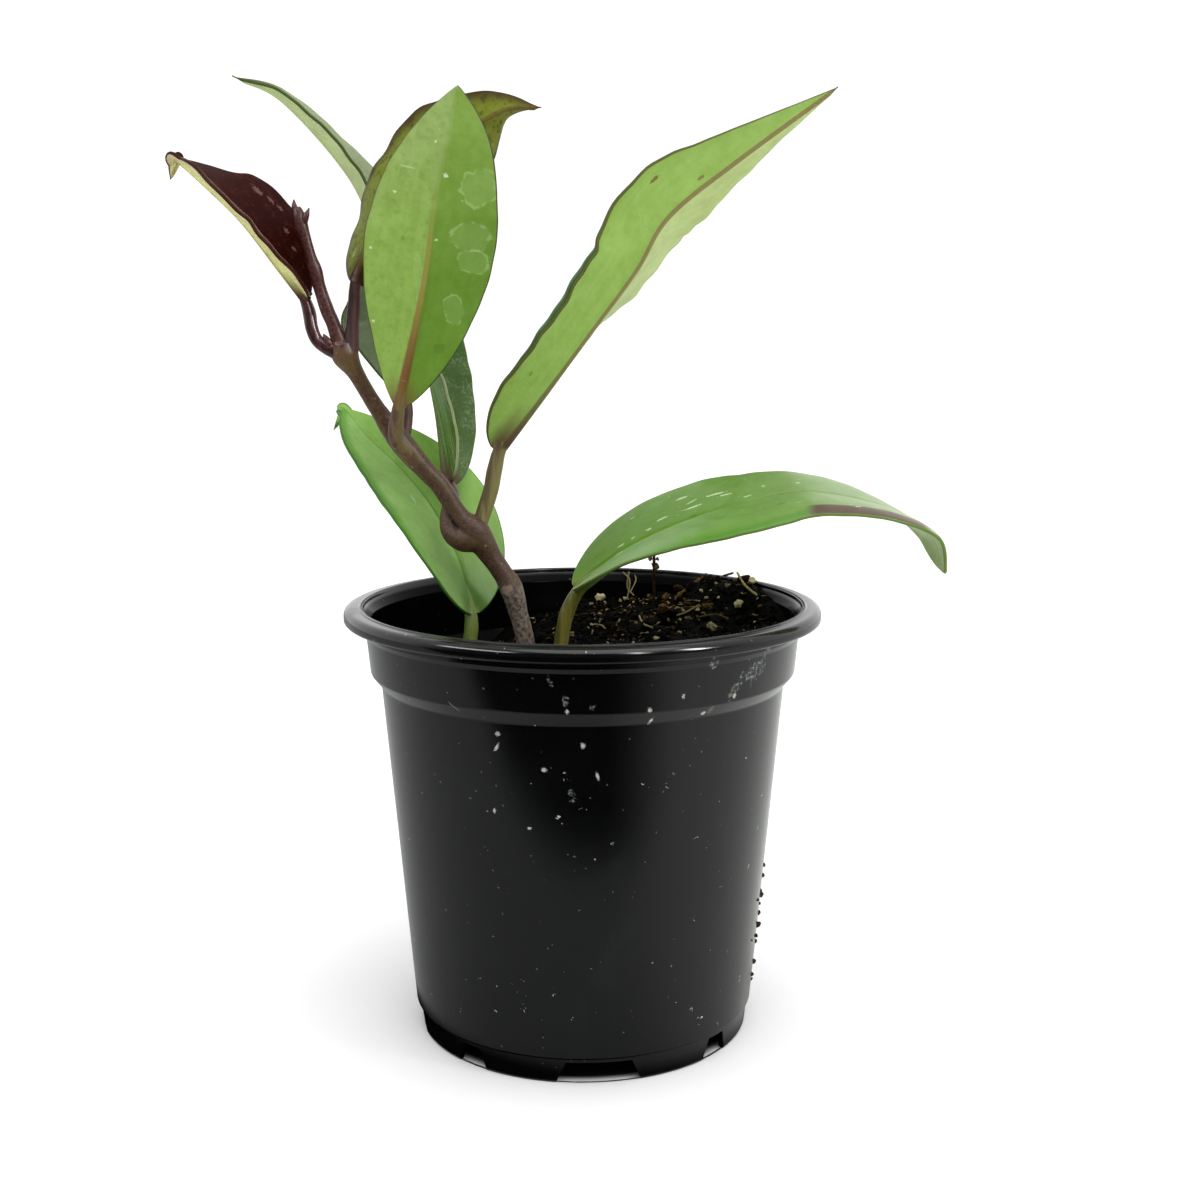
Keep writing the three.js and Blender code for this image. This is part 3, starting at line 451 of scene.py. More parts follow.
LOOKS = {
    "leaf_low_left": {
        "slot": "leaf_fresh_green",
        "upper": (tint(146, 190, 100), tint(140, 186, 88)), "lower": both(150, 182, 118),
        "upper_rib": tint(84, 124, 44), "lower_rib": tint(168, 188, 128),
        "rib_strength": 0.5, "rib_width": 0.45,
        "margin": tint(70, 118, 40), "margin_width": 0.3, "tones": (0.7, 0.98),
        "base": tint(80, 122, 36), "stalk": (tint(98, 126, 40), tint(136, 154, 66)), "stalk_gloss": 0.5,
        "flecks": 0.2, "roughness": 0.42, "gloss": 0.14,
        "bands": [
            {"half": "left", "reach": 3.4, "run": (8, 72), "fade": 12, "edge": 0.2, "strength": 0.8,
             "upper": True, "colour": tint(84, 150, 22)},
        ],
        "marks": [
            *alike({"upper": True, "strength": 0.4, "colour": tint(190, 214, 160)}, (5.5, 44, 0.2, 1.6, 30)),
            *alike(UPPER_FLECK, (-4, 30, 0.25, 1, 0), (3, 22, 0.3, 0.8, 0)),
        ],
    },
    "leaf_low_right": {
        "slot": "leaf_fresh_green",
        "upper": (tint(86, 130, 24), tint(88, 134, 26)), "lower": both(160, 182, 124),
        "upper_tip": (tint(142, 160, 116), tint(138, 158, 108)),
        "upper_rib": tint(86, 124, 50), "lower_rib": tint(160, 182, 118), "rib_base": tint(156, 182, 122),
        "rib_strength": 0.55, "rib_width": 0.5,
        "margin": tint(92, 120, 44), "margin_width": 0.25,
        "base": tint(104, 136, 44), "stalk": (tint(94, 88, 34), tint(138, 134, 60)),
        "flecks": 0.45, "roughness": 0.34, "gloss": 0.24,
        "bands": [
            {"half": "right", "reach": 3.6, "run": (16, 60), "fade": 8, "edge": 0.3, "strength": 0.6,
             "upper": True, "colour": tint(66, 126, 26)},
            {"half": "right", "reach": 4, "run": (53, 83), "fade": 4, "edge": 0.84, "strength": 0.9,
             "colour": tint(80, 52, 48)},
        ],
        "marks": [
            *alike({"upper": True, "strength": 0.6, "colour": tint(80, 100, 60)}, (8.1, 48.7, 0.5, 1, 0)),
            *alike({"upper": True, "wobble": 0.6, "strength": 0.4, "colour": tint(152, 176, 122)},
                   (0.9, 23, 0.9, 13, 0)),
            *alike(
                UPPER_FLECK, (-10, 29, 0.35, 1.2, 0), (-7, 36, 0.3, 2.2, 0), (-5.6, 38.2, 0.3, 1.2, 0),
                (-4.4, 31, 0.28, 2.2, 0), (-6.9, 30.8, 0.2, 1.2, 20), (-4.6, 24, 0.28, 1.2, 0),
                (-2.8, 20.5, 0.3, 0.7, 0), (-2.5, 43, 0.22, 0.9, 0), (-5.5, 47, 0.22, 0.4, 0),
                (-5, 54, 0.22, 0.5, 0), (-2.6, 16.5, 0.3, 0.6, 0), (-2.4, 13.7, 0.2, 0.7, 0),
                (10, 65.7, 0.2, 0.6, 0),
            ),
            *alike({"upper": True, "strength": 0.5, "colour": tint(80, 92, 44)}, (-0.7, 30.5, 0.4, 0.6, 0)),
        ],
    },
    "leaf_middle_left": {
        "slot": "leaf_deep_green",
        "upper": (tint(56, 92, 28), tint(78, 104, 52)), "lower": (tint(70, 112, 30), tint(72, 114, 30)),
        "upper_rib": tint(92, 104, 54), "lower_rib": tint(106, 96, 50), "rib_strength": 0.6,
        # Its pale margin is a painted highlight where the margin's edge catches light, and its pale stripes
        # beneath are painted highlights on ridges there
        "margin": tint(170, 184, 130), "margin_width": 0.2, "stripes": 0.35,
        "base": tint(82, 52, 34), "stalk": (tint(58, 36, 30), tint(84, 60, 50)), "painted_sheen": 0.4,
        "flecks": 0.3, "roughness": 0.4, "gloss": 0.1,
        "bands": [
            {"half": "left", "reach": 0.9, "run": (0, 40), "fade": 8, "edge": 0.5, "strength": 0.7,
             "upper": False, "colour": tint(84, 58, 36)},
        ],
    },
    "leaf_middle_right": {
        "slot": "leaf_fresh_green",
        "upper": both(50, 92, 34), "lower": (tint(180, 198, 128), tint(148, 182, 90)),
        "upper_rib": tint(90, 92, 52), "lower_rib": tint(118, 92, 58), "rib_base": tint(88, 62, 50),
        "rib_strength": 0.75, "rib_width": 0.5,
        "margin": tint(84, 88, 44), "margin_width": 0.28, "tones": (1.04, 0.86),
        "base": tint(92, 68, 50), "base_reach": 15.0, "stalk": (tint(92, 78, 48), tint(136, 128, 76)),
        "flecks": 0.12, "roughness": 0.44, "gloss": 0.1,
        "bands": [
            {"half": "right", "reach": 0.7, "run": (8, 60), "fade": 4, "edge": 0.6, "strength": 0.8,
             "colour": tint(62, 48, 32)},
        ],
        "marks": [
            *alike({"wobble": 2, "strength": 0.8, "colour": tint(112, 78, 48)}, (7.6, 65.6, 0.4, 0.8, 0)),
            *alike({"wobble": 2, "strength": 0.7, "colour": tint(120, 86, 54)}, (1.6, 72.7, 0.35, 0.9, 0)),
            *alike(GREEN_SPOT, (5.9, 18.6, 0.5, 0.6, 0), (13.5, 35.8, 0.25, 0.8, 0)),
        ],
    },
    "leaf_upper_front": {
        "slot": "leaf_fresh_green",
        "upper": both(60, 92, 40), "lower": (tint(98, 136, 42), tint(134, 166, 76)),
        "lower_tip": (tint(118, 148, 62), tint(134, 160, 82)),
        "upper_rib": tint(110, 110, 60), "lower_rib": tint(138, 124, 60), "rib_base": tint(112, 50, 36),
        "rib_width": 0.85, "rib_slim": 0.4, "rib_tip_width": 0.3, "rib_fade": (0.36, 0.72),
        "margin": tint(54, 48, 26), "margin_width": 0.28,
        "base": tint(112, 92, 44), "stalk": (tint(80, 54, 42), tint(112, 96, 62)),
        "flecks": 0.1, "roughness": 0.44, "gloss": 0.12, "veins": 0.12, "mottle": (tint(92, 132, 50), 0.3),
        "marks": [
            *alike(
                STAIN, (-8.1, 48.5, 3.8, 4, 0), (-8.2, 37.9, 4.4, 3, 0), (-9.4, 33.1, 3.6, 2.2, 0),
                (-7.2, 22.8, 2.1, 3.4, -20), (1.1, 28, 0.9, 5.2, -12),
            ),
            *alike({"wobble": 1.2, "strength": 0.5, "colour": tint(186, 206, 150)}, (7, 49.4, 1.8, 0.16, 0)),
            *alike(
                FLECK, (-1, 49.4, 0.6, 0.35, 0), (-1.1, 36.3, 0.32, 0.25, 0), (8.8, 44.2, 0.34, 0.25, 0),
                (12.1, 32.3, 0.28, 0.28, 0), (9.1, 16.9, 0.4, 0.25, 0), (2.4, 55.6, 0.25, 0.28, 0),
                (0, 6.5, 0.35, 0.2, 0),
            ),
            *alike({"strength": 0.5, "colour": tint(92, 126, 50)}, (5.5, 35.6, 0.5, 0.5, 0)),
            *alike({"strength": 0.35, "colour": tint(66, 104, 30)}, (-5.5, 14.5, 1.2, 0.9, 0)),
        ],
    },
    "leaf_upper_back": {
        "slot": "leaf_deep_green",
        "upper": (tint(126, 142, 102), tint(138, 152, 112)), "lower": both(176, 192, 132),
        "upper_rib": tint(66, 74, 30), "lower_rib": tint(172, 188, 128),
        "rib_strength": 0.85, "rib_width": 1.2, "rib_tip_width": 0.7,
        "margin": tint(66, 84, 34), "margin_width": 0.25,
        "base": tint(80, 76, 40), "stalk": (tint(54, 30, 28), tint(88, 54, 44)),
        "flecks": 0.4, "roughness": 0.42, "gloss": 0.12, "painted_sheen": 0.45,
        "bands": [
            {"half": "right", "reach": 0.8, "run": (20, 92), "fade": 6, "edge": 0.45, "strength": 0.6,
             "upper": True, "colour": tint(74, 82, 28)},
            {"half": "right", "reach": 20, "run": (76, TO_TIP), "fade": 8, "strength": 0.7,
             "colour": tint(84, 66, 40)},
            {"half": "left", "reach": 20, "run": (78, TO_TIP), "fade": 8, "strength": 0.7,
             "colour": tint(84, 66, 40)},
        ],
    },
    "leaf_top_right": {
        "slot": "leaf_olive",
        "upper": both(70, 68, 34), "lower": (tint(116, 122, 44), tint(114, 124, 38)),
        "upper_rib": tint(88, 56, 36), "lower_rib": tint(96, 66, 40), "rib_strength": 0.5, "rib_width": 0.45,
        "margin": tint(50, 26, 18), "margin_width": 0.35,
        "base": tint(66, 42, 26), "stalk": (tint(48, 20, 22), tint(84, 50, 44)), "stalk_gloss": 0.5,
        "flecks": 0.25, "roughness": 0.5, "gloss": 0.05, "mottle": (tint(60, 46, 22), 0.65),
        "bands": [
            {"half": "right", "reach": 4.2, "run": (0, TO_TIP), "fade": 2, "edge": 0.05,
             "colour": tint(62, 42, 24)},
            {"half": "left", "reach": 1.2, "run": (20, TO_TIP), "fade": 6, "edge": 0.2, "strength": 0.8,
             "colour": tint(60, 40, 26)},
        ],
    },
    "leaf_top_left": {
        "slot": "leaf_maroon",
        "upper": (tint(44, 9, 6), tint(42, 8, 5)), "lower": both(196, 198, 128),
        "upper_tip": (tint(56, 24, 18), tint(50, 20, 16)),
        "upper_rib": tint(40, 10, 10), "lower_rib": tint(150, 140, 90),
        "margin": tint(60, 30, 24), "margin_width": 0.22,
        "base": tint(50, 18, 18), "stalk": (tint(48, 20, 24), tint(84, 46, 44)), "stalk_gloss": 0.5,
        "flecks": 0.3, "fleck": tint(130, 92, 88), "roughness": 0.24, "gloss": 0.03, "veins": 0.1,
        "mottle": (tint(78, 38, 34), 0.3),
        "bands": [
            # The two pale strips along the left margin are painted highlights where the rolled margin catches
            # light
            {"half": "left", "reach": 2.5, "run": (4, 42), "edge": 0.94, "strength": 0.5,
             "colour": tint(176, 158, 130)},
            {"half": "left", "reach": 2.2, "run": (0, TO_TIP), "edge": 0.94, "upper": True,
             "colour": tint(66, 24, 18)},
            {"half": "left", "reach": 1.3, "run": (2, 44), "edge": 0.9, "strength": 0.6,
             "colour": tint(190, 176, 146)},
            {"half": "left", "reach": 1, "run": (0, TO_TIP), "edge": 0.9, "upper": True,
             "colour": tint(60, 24, 18)},
        ],
        "marks": alike(
            SILVER, (9.1, 22.5, 0.7, 1, 0), (9.8, 19.8, 0.4, 0.7, 0), (10.4, 17.7, 0.4, 0.7, 0),
            (7.4, 13.5, 0.4, 0.8, 0), (5.9, 9.6, 0.4, 0.8, 0),
        ),
    },
}


def unit(vectors):
    return vectors / np.linalg.norm(vectors, axis=-1, keepdims=True)


def placed(points):
    """Millimetres from the pot's axis to metres in the frame."""
    return np.asarray(points, float) * MM + POT_AXIS


def smooth_share(value, low, high):
    share = np.clip((value - low) / (high - low), 0, 1)
    return share * share * (3 - 2 * share)


def through(values, places):
    """Points on a smooth curve through equally spaced values, at places from 0 to 1."""
    rows = np.asarray(values, float)
    rows = rows.reshape(len(rows), -1)
    rows = np.vstack([2 * rows[0] - rows[1], rows, 2 * rows[-1] - rows[-2]])
    spans = len(rows) - 3
    at = np.clip(places, 0, 1) * spans
    span = np.minimum(at.astype(int), spans - 1)
    f = (at - span)[:, None]
    a, b, c, d = (rows[span + k] for k in range(4))
    cubic = (2 * b) + (c - a) * f + (2 * a - 5 * b + 4 * c - d) * f**2 + (3 * b - a - 3 * c + d) * f**3
    return cubic / 2


class Tree:
    """Adds and joins the nodes of one material or one geometry tree."""

    def __init__(self, tree):
        self.tree = tree

    def put(self, socket, value):
        if isinstance(value, bpy.types.NodeSocket):
            self.tree.links.new(value, socket)
        elif value is not None:
            socket.default_value = value

    def add(self, kind, inputs=None, **settings):
        node = self.tree.nodes.new(kind)
        for name, value in settings.items():
            setattr(node, name, value)
        for key, value in (inputs or {}).items():
            self.put(node.inputs[key], value)
        return node

    def math(self, operation, first, second=None, third=None):
        inputs = {index: value for index, value in enumerate((first, second, third))}
        return self.add("ShaderNodeMath", inputs, operation=operation).outputs[0]

    def plus(self, first, second):
        return self.math("ADD", first, second)

    def minus(self, first, second):
        return self.math("SUBTRACT", first, second)

    def times(self, first, second):
        return self.math("MULTIPLY", first, second)

    def over(self, first, second):
        return self.math("DIVIDE", first, second)

    def larger(self, first, second):
        return self.math("MAXIMUM", first, second)

    def vector(self, operation, first, second=None):
        node = self.add("ShaderNodeVectorMath", {0: first}, operation=operation)
        if operation == "SCALE":
            self.put(node.inputs["Scale"], second)
        else:
            self.put(node.inputs[1], second)
        return node.outputs[1 if operation in ("LENGTH", "DISTANCE", "DOT_PRODUCT") else 0]

    def ramp(self, value, low, high, first=0.0, last=1.0):
        """A smooth step from first to last while the value goes from low to high."""
        sockets = {"Value": value, "From Min": low, "From Max": high, "To Min": first, "To Max": last}
        return self.add("ShaderNodeMapRange", sockets, interpolation_type="SMOOTHSTEP").outputs[0]

    def mix(self, share, below, above):
        """One colour laid over another."""
        return self.add("ShaderNodeMix", {0: share, 6: below, 7: above}, data_type="RGBA").outputs[2]

    def shade(self, colour, value, saturation=1.0):
        """A colour made darker or lighter."""
        sockets = {"Value": value, "Saturation": saturation, "Color": colour}
        return self.add("ShaderNodeHueSaturation", sockets).outputs[0]

    def noise(self, where, scale, detail=2.0, roughness=0.5, distortion=0.0):
        sockets = {
            "Vector": where, "Scale": scale, "Detail": detail, "Roughness": roughness,
            "Distortion": distortion,
        }
        return self.add("ShaderNodeTexNoise", sockets).outputs[0]

    def split(self, vector):
        return self.add("ShaderNodeSeparateXYZ", {0: vector}).outputs

    def combine(self, x, y, z):
        return self.add("ShaderNodeCombineXYZ", {0: x, 1: y, 2: z}).outputs[0]

    def specks(self, where, scale, size, chance, ragged=0.0):
        """Small specks in some cells of a pattern, each of its own size, from 0 to 1, round or ragged."""
        if ragged:
            wander = self.add("ShaderNodeTexNoise", {"Vector": where, "Scale": 2.6 * scale}).outputs["Color"]
            wander = self.vector("SUBTRACT", wander, (0.5, 0.5, 0.5))
            where = self.vector("ADD", where, self.vector("SCALE", wander, 2 * ragged / scale))
        cells = self.add("ShaderNodeTexVoronoi", {"Vector": where, "Scale": scale})
        draw = self.split(cells.outputs["Color"])
        reach = self.times(draw[0], size)
        inside = self.ramp(self.minus(cells.outputs["Distance"], reach), -0.03, 0.02, 1.0, 0.0)
        chosen = self.math("LESS_THAN", draw[1], chance)
        return self.times(inside, chosen)


class Finish(Tree):
    """A material for one of the object's finishes, with one shader whose sockets hold what is uniform."""

    def __init__(self, name, **uniform):
        self.material = bpy.data.materials.new(name)
        self.material.use_nodes = True
        super().__init__(self.material.node_tree)
        self.shader = self.tree.nodes["Principled BSDF"]
        self.place = self.add("ShaderNodeTexCoord").outputs["Object"]
        for name, value in uniform.items():
            self.shader.inputs[name.replace("_", " ")].default_value = value

    def set(self, name, value):
        self.put(self.shader.inputs[name], value)

    def attribute(self, name, output="Fac"):
        return self.add("ShaderNodeAttribute", attribute_name=name).outputs[output]

    def bump(self, height, distance, strength=1.0):
        sockets = {"Height": height, "Distance": distance * MM, "Strength": strength}
        self.set("Normal", self.add("ShaderNodeBump", sockets).outputs[0])


class LeafFinish(Finish):
    """A two-sided leaf skin that follows the leaf's own places, with its stalk."""

    def __init__(self, name, look):
        super().__init__(name)
        self.look = look
        self.spot = self.attribute("leaf_place", "Vector")
        self.across, self.run, self.side = self.split(self.spot)
        self.half, self.along, self.rim = self.split(self.attribute("leaf_share", "Vector"))
        self.stalk = self.attribute("stalk")
        self.beneath = self.minus(1.0, self.side)
        self.off_rib = self.math("ABSOLUTE", self.across)
        self.broad = self.noise(self.spot, **BROAD_PATTERN)
        self.fine = self.noise(self.spot, **FINE_PATTERN)

        skin = self.plain_skin()
        lighter = self.shade(skin, *LIGHTER_SKIN)
        colour = self.mix(self.ramp(self.tone(), 0.3, 0.7), self.shade(skin, *DARKER_SKIN), lighter)
        colour = self.patterned(colour)
        wave = self.vein_wave()
        vein = self.times(self.ramp(wave, 0.86, 1.0), self.ramp(self.rim, *VEIN_FADE))
        colour = self.mix(self.times(vein, look.get("veins", VEIN_STRENGTH)), colour, lighter)
        colour = self.flecked(colour)
        for band in look.get("bands", []):
            colour = self.banded(colour, band)
        for mark in look.get("marks", []):
            colour = marked(self, colour, self.spot, mark, self.side if mark.get("upper") else self.beneath)
        colour = self.ribbed(colour)
        self.set("Base Color", self.mix(self.stalk, colour, self.stalk_bark()))
        self.set("Roughness", self.plus(look["roughness"] - 0.06, self.times(self.fine, 0.14)))
        shine = self.ramp(self.stalk, 0.2, 0.9, look["gloss"], look.get("stalk_gloss", STALK_GLOSS))
        self.set("Specular IOR Level", shine)
        relief = self.plus(self.times(self.fine, 0.4), self.times(wave, 0.3))
        self.bump(self.plus(relief, self.broad), LEAF_RELIEF, 0.6)

    def plain_skin(self):
        """Each half's own colour on either side, which may change towards the tip."""
        right = self.ramp(self.half, -0.04, 0.04)
        to_tip = self.ramp(self.along, 0.3, 0.9)
        sides = []
        for word in ("lower", "upper"):
            colour = self.mix(right, *self.look[word])
            if word + "_tip" in self.look:
                colour = self.mix(to_tip, colour, self.mix(right, *self.look[word + "_tip"]))
            sides.append(colour)
        skin = self.mix(self.side, *sides)
        if "tones" in self.look:
            at_base, at_tip = self.look["tones"]
            from_base = self.ramp(self.along, 0.0, 0.4, at_base, 1.0)
            skin = self.shade(skin, self.times(from_base, self.ramp(self.along, 0.5, 1.0, 1.0, at_tip)))
        return skin

    def tone(self):
        """How light the skin is, from its broad, cloudy, streaky and fine patterns."""
        streak = self.noise(self.vector("MULTIPLY", self.spot, STREAK_STRETCH), STREAK_SCALE)
        clouds = self.noise(self.spot, **CLOUD_PATTERN)
        patterns = (self.broad, clouds, streak, self.fine)
        parts = [self.times(pattern, share) for pattern, share in zip(patterns, TONE_SHARES)]
        tone = parts[0]
        for part in parts[1:]:
            tone = self.plus(tone, part)
        return tone

    def patterned(self, colour):
        """The patches, the grey-green patches of painted sheen and the stripes beneath, painted highlights on
        ridges, that some of the leaves have.
        """
        if "mottle" in self.look:
            mottle_colour, strength = self.look["mottle"]
            patches = self.ramp(self.noise(self.spot, 0.55, 5.0, 0.7), 0.5, 0.64)
            colour = self.mix(self.times(patches, strength), colour, mottle_colour)
        # Grey-green patches of painted sheen
        if "painted_sheen" in self.look:
            sheen_share = self.ramp(self.noise(self.spot, 1.3, 4.0, 0.7), 0.46, 0.62)
            sheen_share = self.times(sheen_share, self.ramp(self.noise(self.spot, 0.14), 0.35, 0.6))
            colour = self.mix(self.times(sheen_share, self.look["painted_sheen"]), colour, tint(148, 162, 138))
        # Pale stripes beneath: painted highlights where lengthwise ridges catch light
        if "stripes" in self.look:
            lengthwise = self.noise(self.vector("MULTIPLY", self.spot, (1.5, 0.03, 1.0)), 1.0, 1.0)
            ridge_highlight = self.times(self.ramp(lengthwise, 0.5, 0.62), self.look["stripes"])
            colour = self.mix(self.times(ridge_highlight, self.beneath), colour, tint(150, 172, 110))
        return colour

    def vein_wave(self):
        """A wave that crests on the side veins, which slant forward from the midrib."""
        slant = self.minus(self.run, self.times(self.off_rib, VEIN_SLANT))
        bent = self.plus(slant, self.times(self.noise(self.spot, 0.16), VEIN_BEND))
        return self.math("SINE", self.times(bent, 2 * math.pi / VEIN_SPACING))

    def flecked(self, colour):
        """Pale flecks, some drawn out along the leaf and some round."""
        stretched = self.vector("MULTIPLY", self.spot, (1.0, 0.45, 1.0))
        long = self.specks(stretched, 0.42, 0.16, self.look["flecks"], ragged=0.4)
        round_ones = self.specks(self.spot, 0.62, 0.12, self.look["flecks"], ragged=0.3)
        fleck = self.times(self.larger(long, round_ones), 0.4)
        return self.mix(fleck, colour, self.look.get("fleck", tint(186, 200, 170)))

    def banded(self, colour, band):
        """A strip along one margin, so far in from it and between two places along the leaf."""
        start, end = band["run"]
        fade = band.get("fade", 3.0)
        half = 1 if band["half"] == "right" else -1
        share = self.ramp(self.rim, band["reach"], band["reach"] * band.get("edge", 0.6))
        share = self.times(share, self.ramp(self.run, start, start + fade))
        share = self.times(share, self.ramp(self.run, end, end - fade))
        share = self.times(share, self.ramp(self.times(self.across, half), -0.1, 0.1))
        if "upper" in band:
            share = self.times(share, self.side if band["upper"] else self.beneath)
        return self.mix(self.times(share, band.get("strength", 0.9)), colour, band["colour"])

    def ribbed(self, colour):
        """The midrib, narrower to the tip, then the margin and the darker base."""
        look = self.look
        rib_ends = (look.get("rib_width", 0.75), look.get("rib_tip_width", 0.22))
        rib_width = self.ramp(self.along, 0.0, look.get("rib_slim", 0.9), *rib_ends)
        on_rib = self.ramp(self.over(self.off_rib, rib_width), 1.35, 0.55)
        if "rib_fade" in look:
            on_rib = self.times(on_rib, self.ramp(self.along, *look["rib_fade"], 1.0, 0.0))
        rib = self.mix(self.side, look["lower_rib"], look["upper_rib"])
        if "rib_base" in look:
            rib = self.mix(self.ramp(self.along, 0.36, 0.06), rib, look["rib_base"])
        colour = self.mix(self.times(on_rib, look.get("rib_strength", 0.85)), colour, rib)
        edge = self.ramp(self.rim, look["margin_width"] * 1.8, look["margin_width"] * 0.5)
        colour = self.mix(edge, colour, look["margin"])
        near_base = self.ramp(self.run, look.get("base_reach", 9.0), 0.0)
        near_base = self.times(near_base, self.ramp(self.off_rib, 5.0, 1.0))
        return self.mix(near_base, colour, look["base"])

    def stalk_bark(self):
        """The stalk's skin, darker on its left as painted shade, with soft lengthwise stripes and small brown
        dots.
        """
        stripes = self.noise(self.vector("MULTIPLY", self.place, (900, 900, 70)), 1.0, 2.0)
        # Painted shade: the side of the stalk that faces left is darker
        painted_side_shade = self.split(self.add("ShaderNodeNewGeometry").outputs["Normal"])[0]
        shade = self.plus(self.times(painted_side_shade, 0.28), stripes)
        bark = self.mix(self.ramp(shade, 0.25, 0.7), *self.look["stalk"])
        dots = self.specks(self.place, 1100, 0.3, 0.3, ragged=0.3)
        return self.mix(self.times(dots, 0.4), bark, shaded(self.look["stalk"][0], 0.5))


def marked(finish, colour, place, mark, here=None):
    """One spot, or a stain that is faint inside its rim, turned and laid over the skin there."""
    x, y = mark["at"]
    width, length = mark["size"]
    lean = math.radians(mark.get("lean", 0))
    away = finish.vector("SUBTRACT", place, (x, y, 0))
    level = finish.vector("DOT_PRODUCT", away, (math.cos(lean) / width, math.sin(lean) / width, 0))
    upright = finish.vector("DOT_PRODUCT", away, (-math.sin(lean) / length, math.cos(lean) / length, 0))
    ragged = finish.noise(place, mark.get("grain", 0.7), 3.0)
    wobble = finish.times(finish.minus(ragged, 0.5), mark.get("wobble", 1.6))
    reach = finish.plus(finish.vector("LENGTH", finish.combine(level, upright, 0.0)), wobble)
    inside = finish.ramp(reach, 1.08, 0.9)
    if "crust" in mark:
        crust = finish.noise(place, mark["crust"], 5.0, 0.75)
        inside = finish.times(inside, finish.ramp(crust, 0.47, 0.66))
    if "inside" in mark:
        ring = finish.ramp(finish.math("ABSOLUTE", finish.minus(reach, 0.95)), 0.12, 0.03)
        ring = finish.times(ring, finish.ramp(finish.noise(place, 0.45), 0.38, 0.55))
        inside = finish.larger(finish.times(inside, mark["inside"]), ring)
    if here is not None:
        inside = finish.times(inside, here)
    return finish.mix(finish.times(inside, mark.get("strength", 0.6)), colour, mark["colour"])


def stem_finish():
    """Purple-brown speckled bark, greyer and rougher down by the soil, redder on the young shoot."""
    finish = Finish("stem_bark", Specular_IOR_Level=0.26)
    height = finish.split(finish.place)[2]
    grain = finish.noise(finish.place, 2200, 3.0, 0.6)
    patches = finish.noise(finish.place, 260, 3.0, 0.6)
    bark = finish.mix(finish.ramp(grain, 0.3, 0.7), tint(60, 36, 26), tint(92, 66, 46))
    bark = finish.mix(finish.ramp(patches, 0.42, 0.66, 0.0, 0.6), bark, tint(86, 70, 36))
    crust = finish.noise(finish.place, 1100, 4.0, 0.7)
    old = finish.mix(finish.ramp(crust, 0.36, 0.62), tint(72, 56, 50), tint(138, 126, 112))
    bark = finish.mix(finish.ramp(height, 0.101, 0.097), bark, old)
    young = finish.mix(finish.ramp(grain, 0.3, 0.7), tint(56, 24, 24), tint(92, 56, 50))
    bark = finish.mix(finish.ramp(height, 0.146, 0.153), bark, young)
    for spot in STEM_SPOTS:
        away = finish.vector("DISTANCE", finish.place, tuple(placed(spot["at"])))
        ragged = finish.minus(finish.noise(finish.place, 900, 3.0, 0.65), 0.5)
        away = finish.plus(away, finish.times(ragged, 1.6 * spot["reach"] * MM))
        near = finish.ramp(away, spot["reach"] * MM, 0.55 * spot["reach"] * MM, 0.0, spot["strength"])
        bark = finish.mix(near, bark, tint(*spot["colour"]))
    pale = finish.specks(finish.place, 900, 0.2, 0.3, ragged=0.4)
    pale = finish.times(pale, finish.ramp(height, 0.15, 0.095, 0.22, 0.6))
    bark = finish.mix(pale, bark, tint(178, 162, 150))
    dark = finish.specks(finish.vector("ADD", finish.place, (0.3, 0.1, 0.7)), 1000, 0.26, 0.3, ragged=0.3)
    bark = finish.mix(finish.times(dark, 0.45), bark, tint(40, 24, 22))
    finish.set("Base Color", bark)
    finish.set("Roughness", finish.ramp(height, 0.096, 0.15, 0.6, 0.36))
    finish.bump(finish.plus(finish.times(grain, 0.3), patches), 0.14, 0.6)
    return finish.material


def on_wall(degrees, height):
    """A place on the pot's wall, by its angle to the right of the front."""
    return math.radians(degrees) * COLLAR_RADIUS, height


def pot_finish():
    """Glossy black moulded plastic with dust, smudges, dried water on the collar and soil on its right."""
    finish = Finish("black_pot_plastic")
    x, y, height = finish.split(finish.vector("SUBTRACT", finish.place, tuple(POT_AXIS)))
    turn = finish.math("ARCTAN2", x, finish.times(y, -1.0))
    wall = finish.combine(finish.times(turn, COLLAR_RADIUS), finish.over(height, MM), 0.0)
    haze = finish.noise(finish.place, 60, 4.0, 0.6)
    smudge = finish.ramp(finish.noise(finish.place, 34, 3.0, 0.5, 0.6), 0.58, 0.76)
    plastic = finish.mix(haze, tint(3, 3, 4), tint(7, 8, 9))
    plastic = finish.mix(finish.times(smudge, 0.1), plastic, tint(52, 54, 56))
    dust = finish.specks(finish.place, 480, 0.16, 0.09, ragged=0.9)
    chips = finish.specks(finish.vector("ADD", finish.place, (0.4, 0.9, 0.2)), 210, 0.11, 0.2, ragged=0.8)
    dust = finish.larger(dust, chips)
    mist = finish.times(finish.specks(finish.place, 900, 0.2, 0.12, ragged=0.3), 0.12)
    pale = finish.larger(finish.times(dust, 0.62), mist)
    plastic = finish.mix(pale, plastic, tint(200, 203, 202))
    for mark in POT_MARKS:
        plastic = marked(finish, plastic, wall, {**mark, "at": on_wall(*mark["at"])})
    soil = finish.mix(haze, tint(30, 22, 14), tint(84, 66, 44))
    plastic = finish.mix(finish.attribute("crumb"), plastic, soil)
    finish.set("Base Color", plastic)
    gloss = finish.plus(0.09, finish.times(haze, 0.12))
    gloss = finish.plus(gloss, finish.times(smudge, 0.14))
    finish.set("Roughness", finish.plus(gloss, finish.times(dust, 0.5)))
    finish.bump(finish.plus(haze, dust), 0.03, 0.4)
    facing = finish.split(finish.add("ShaderNodeNewGeometry").outputs["Normal"])
    inward = finish.plus(finish.times(facing[0], x), finish.times(facing[1], y))
    below_rim = finish.ramp(height, *(edge * MM for edge in INSIDE_MATTE), 0.0, 0.92)
    inside = finish.times(finish.ramp(inward, 0.0, -0.005), below_rim)
    matte = finish.larger(inside, finish.attribute("crumb"))
    finish.set("Specular IOR Level", finish.times(finish.minus(1.0, matte), 0.32))
    return finish.material


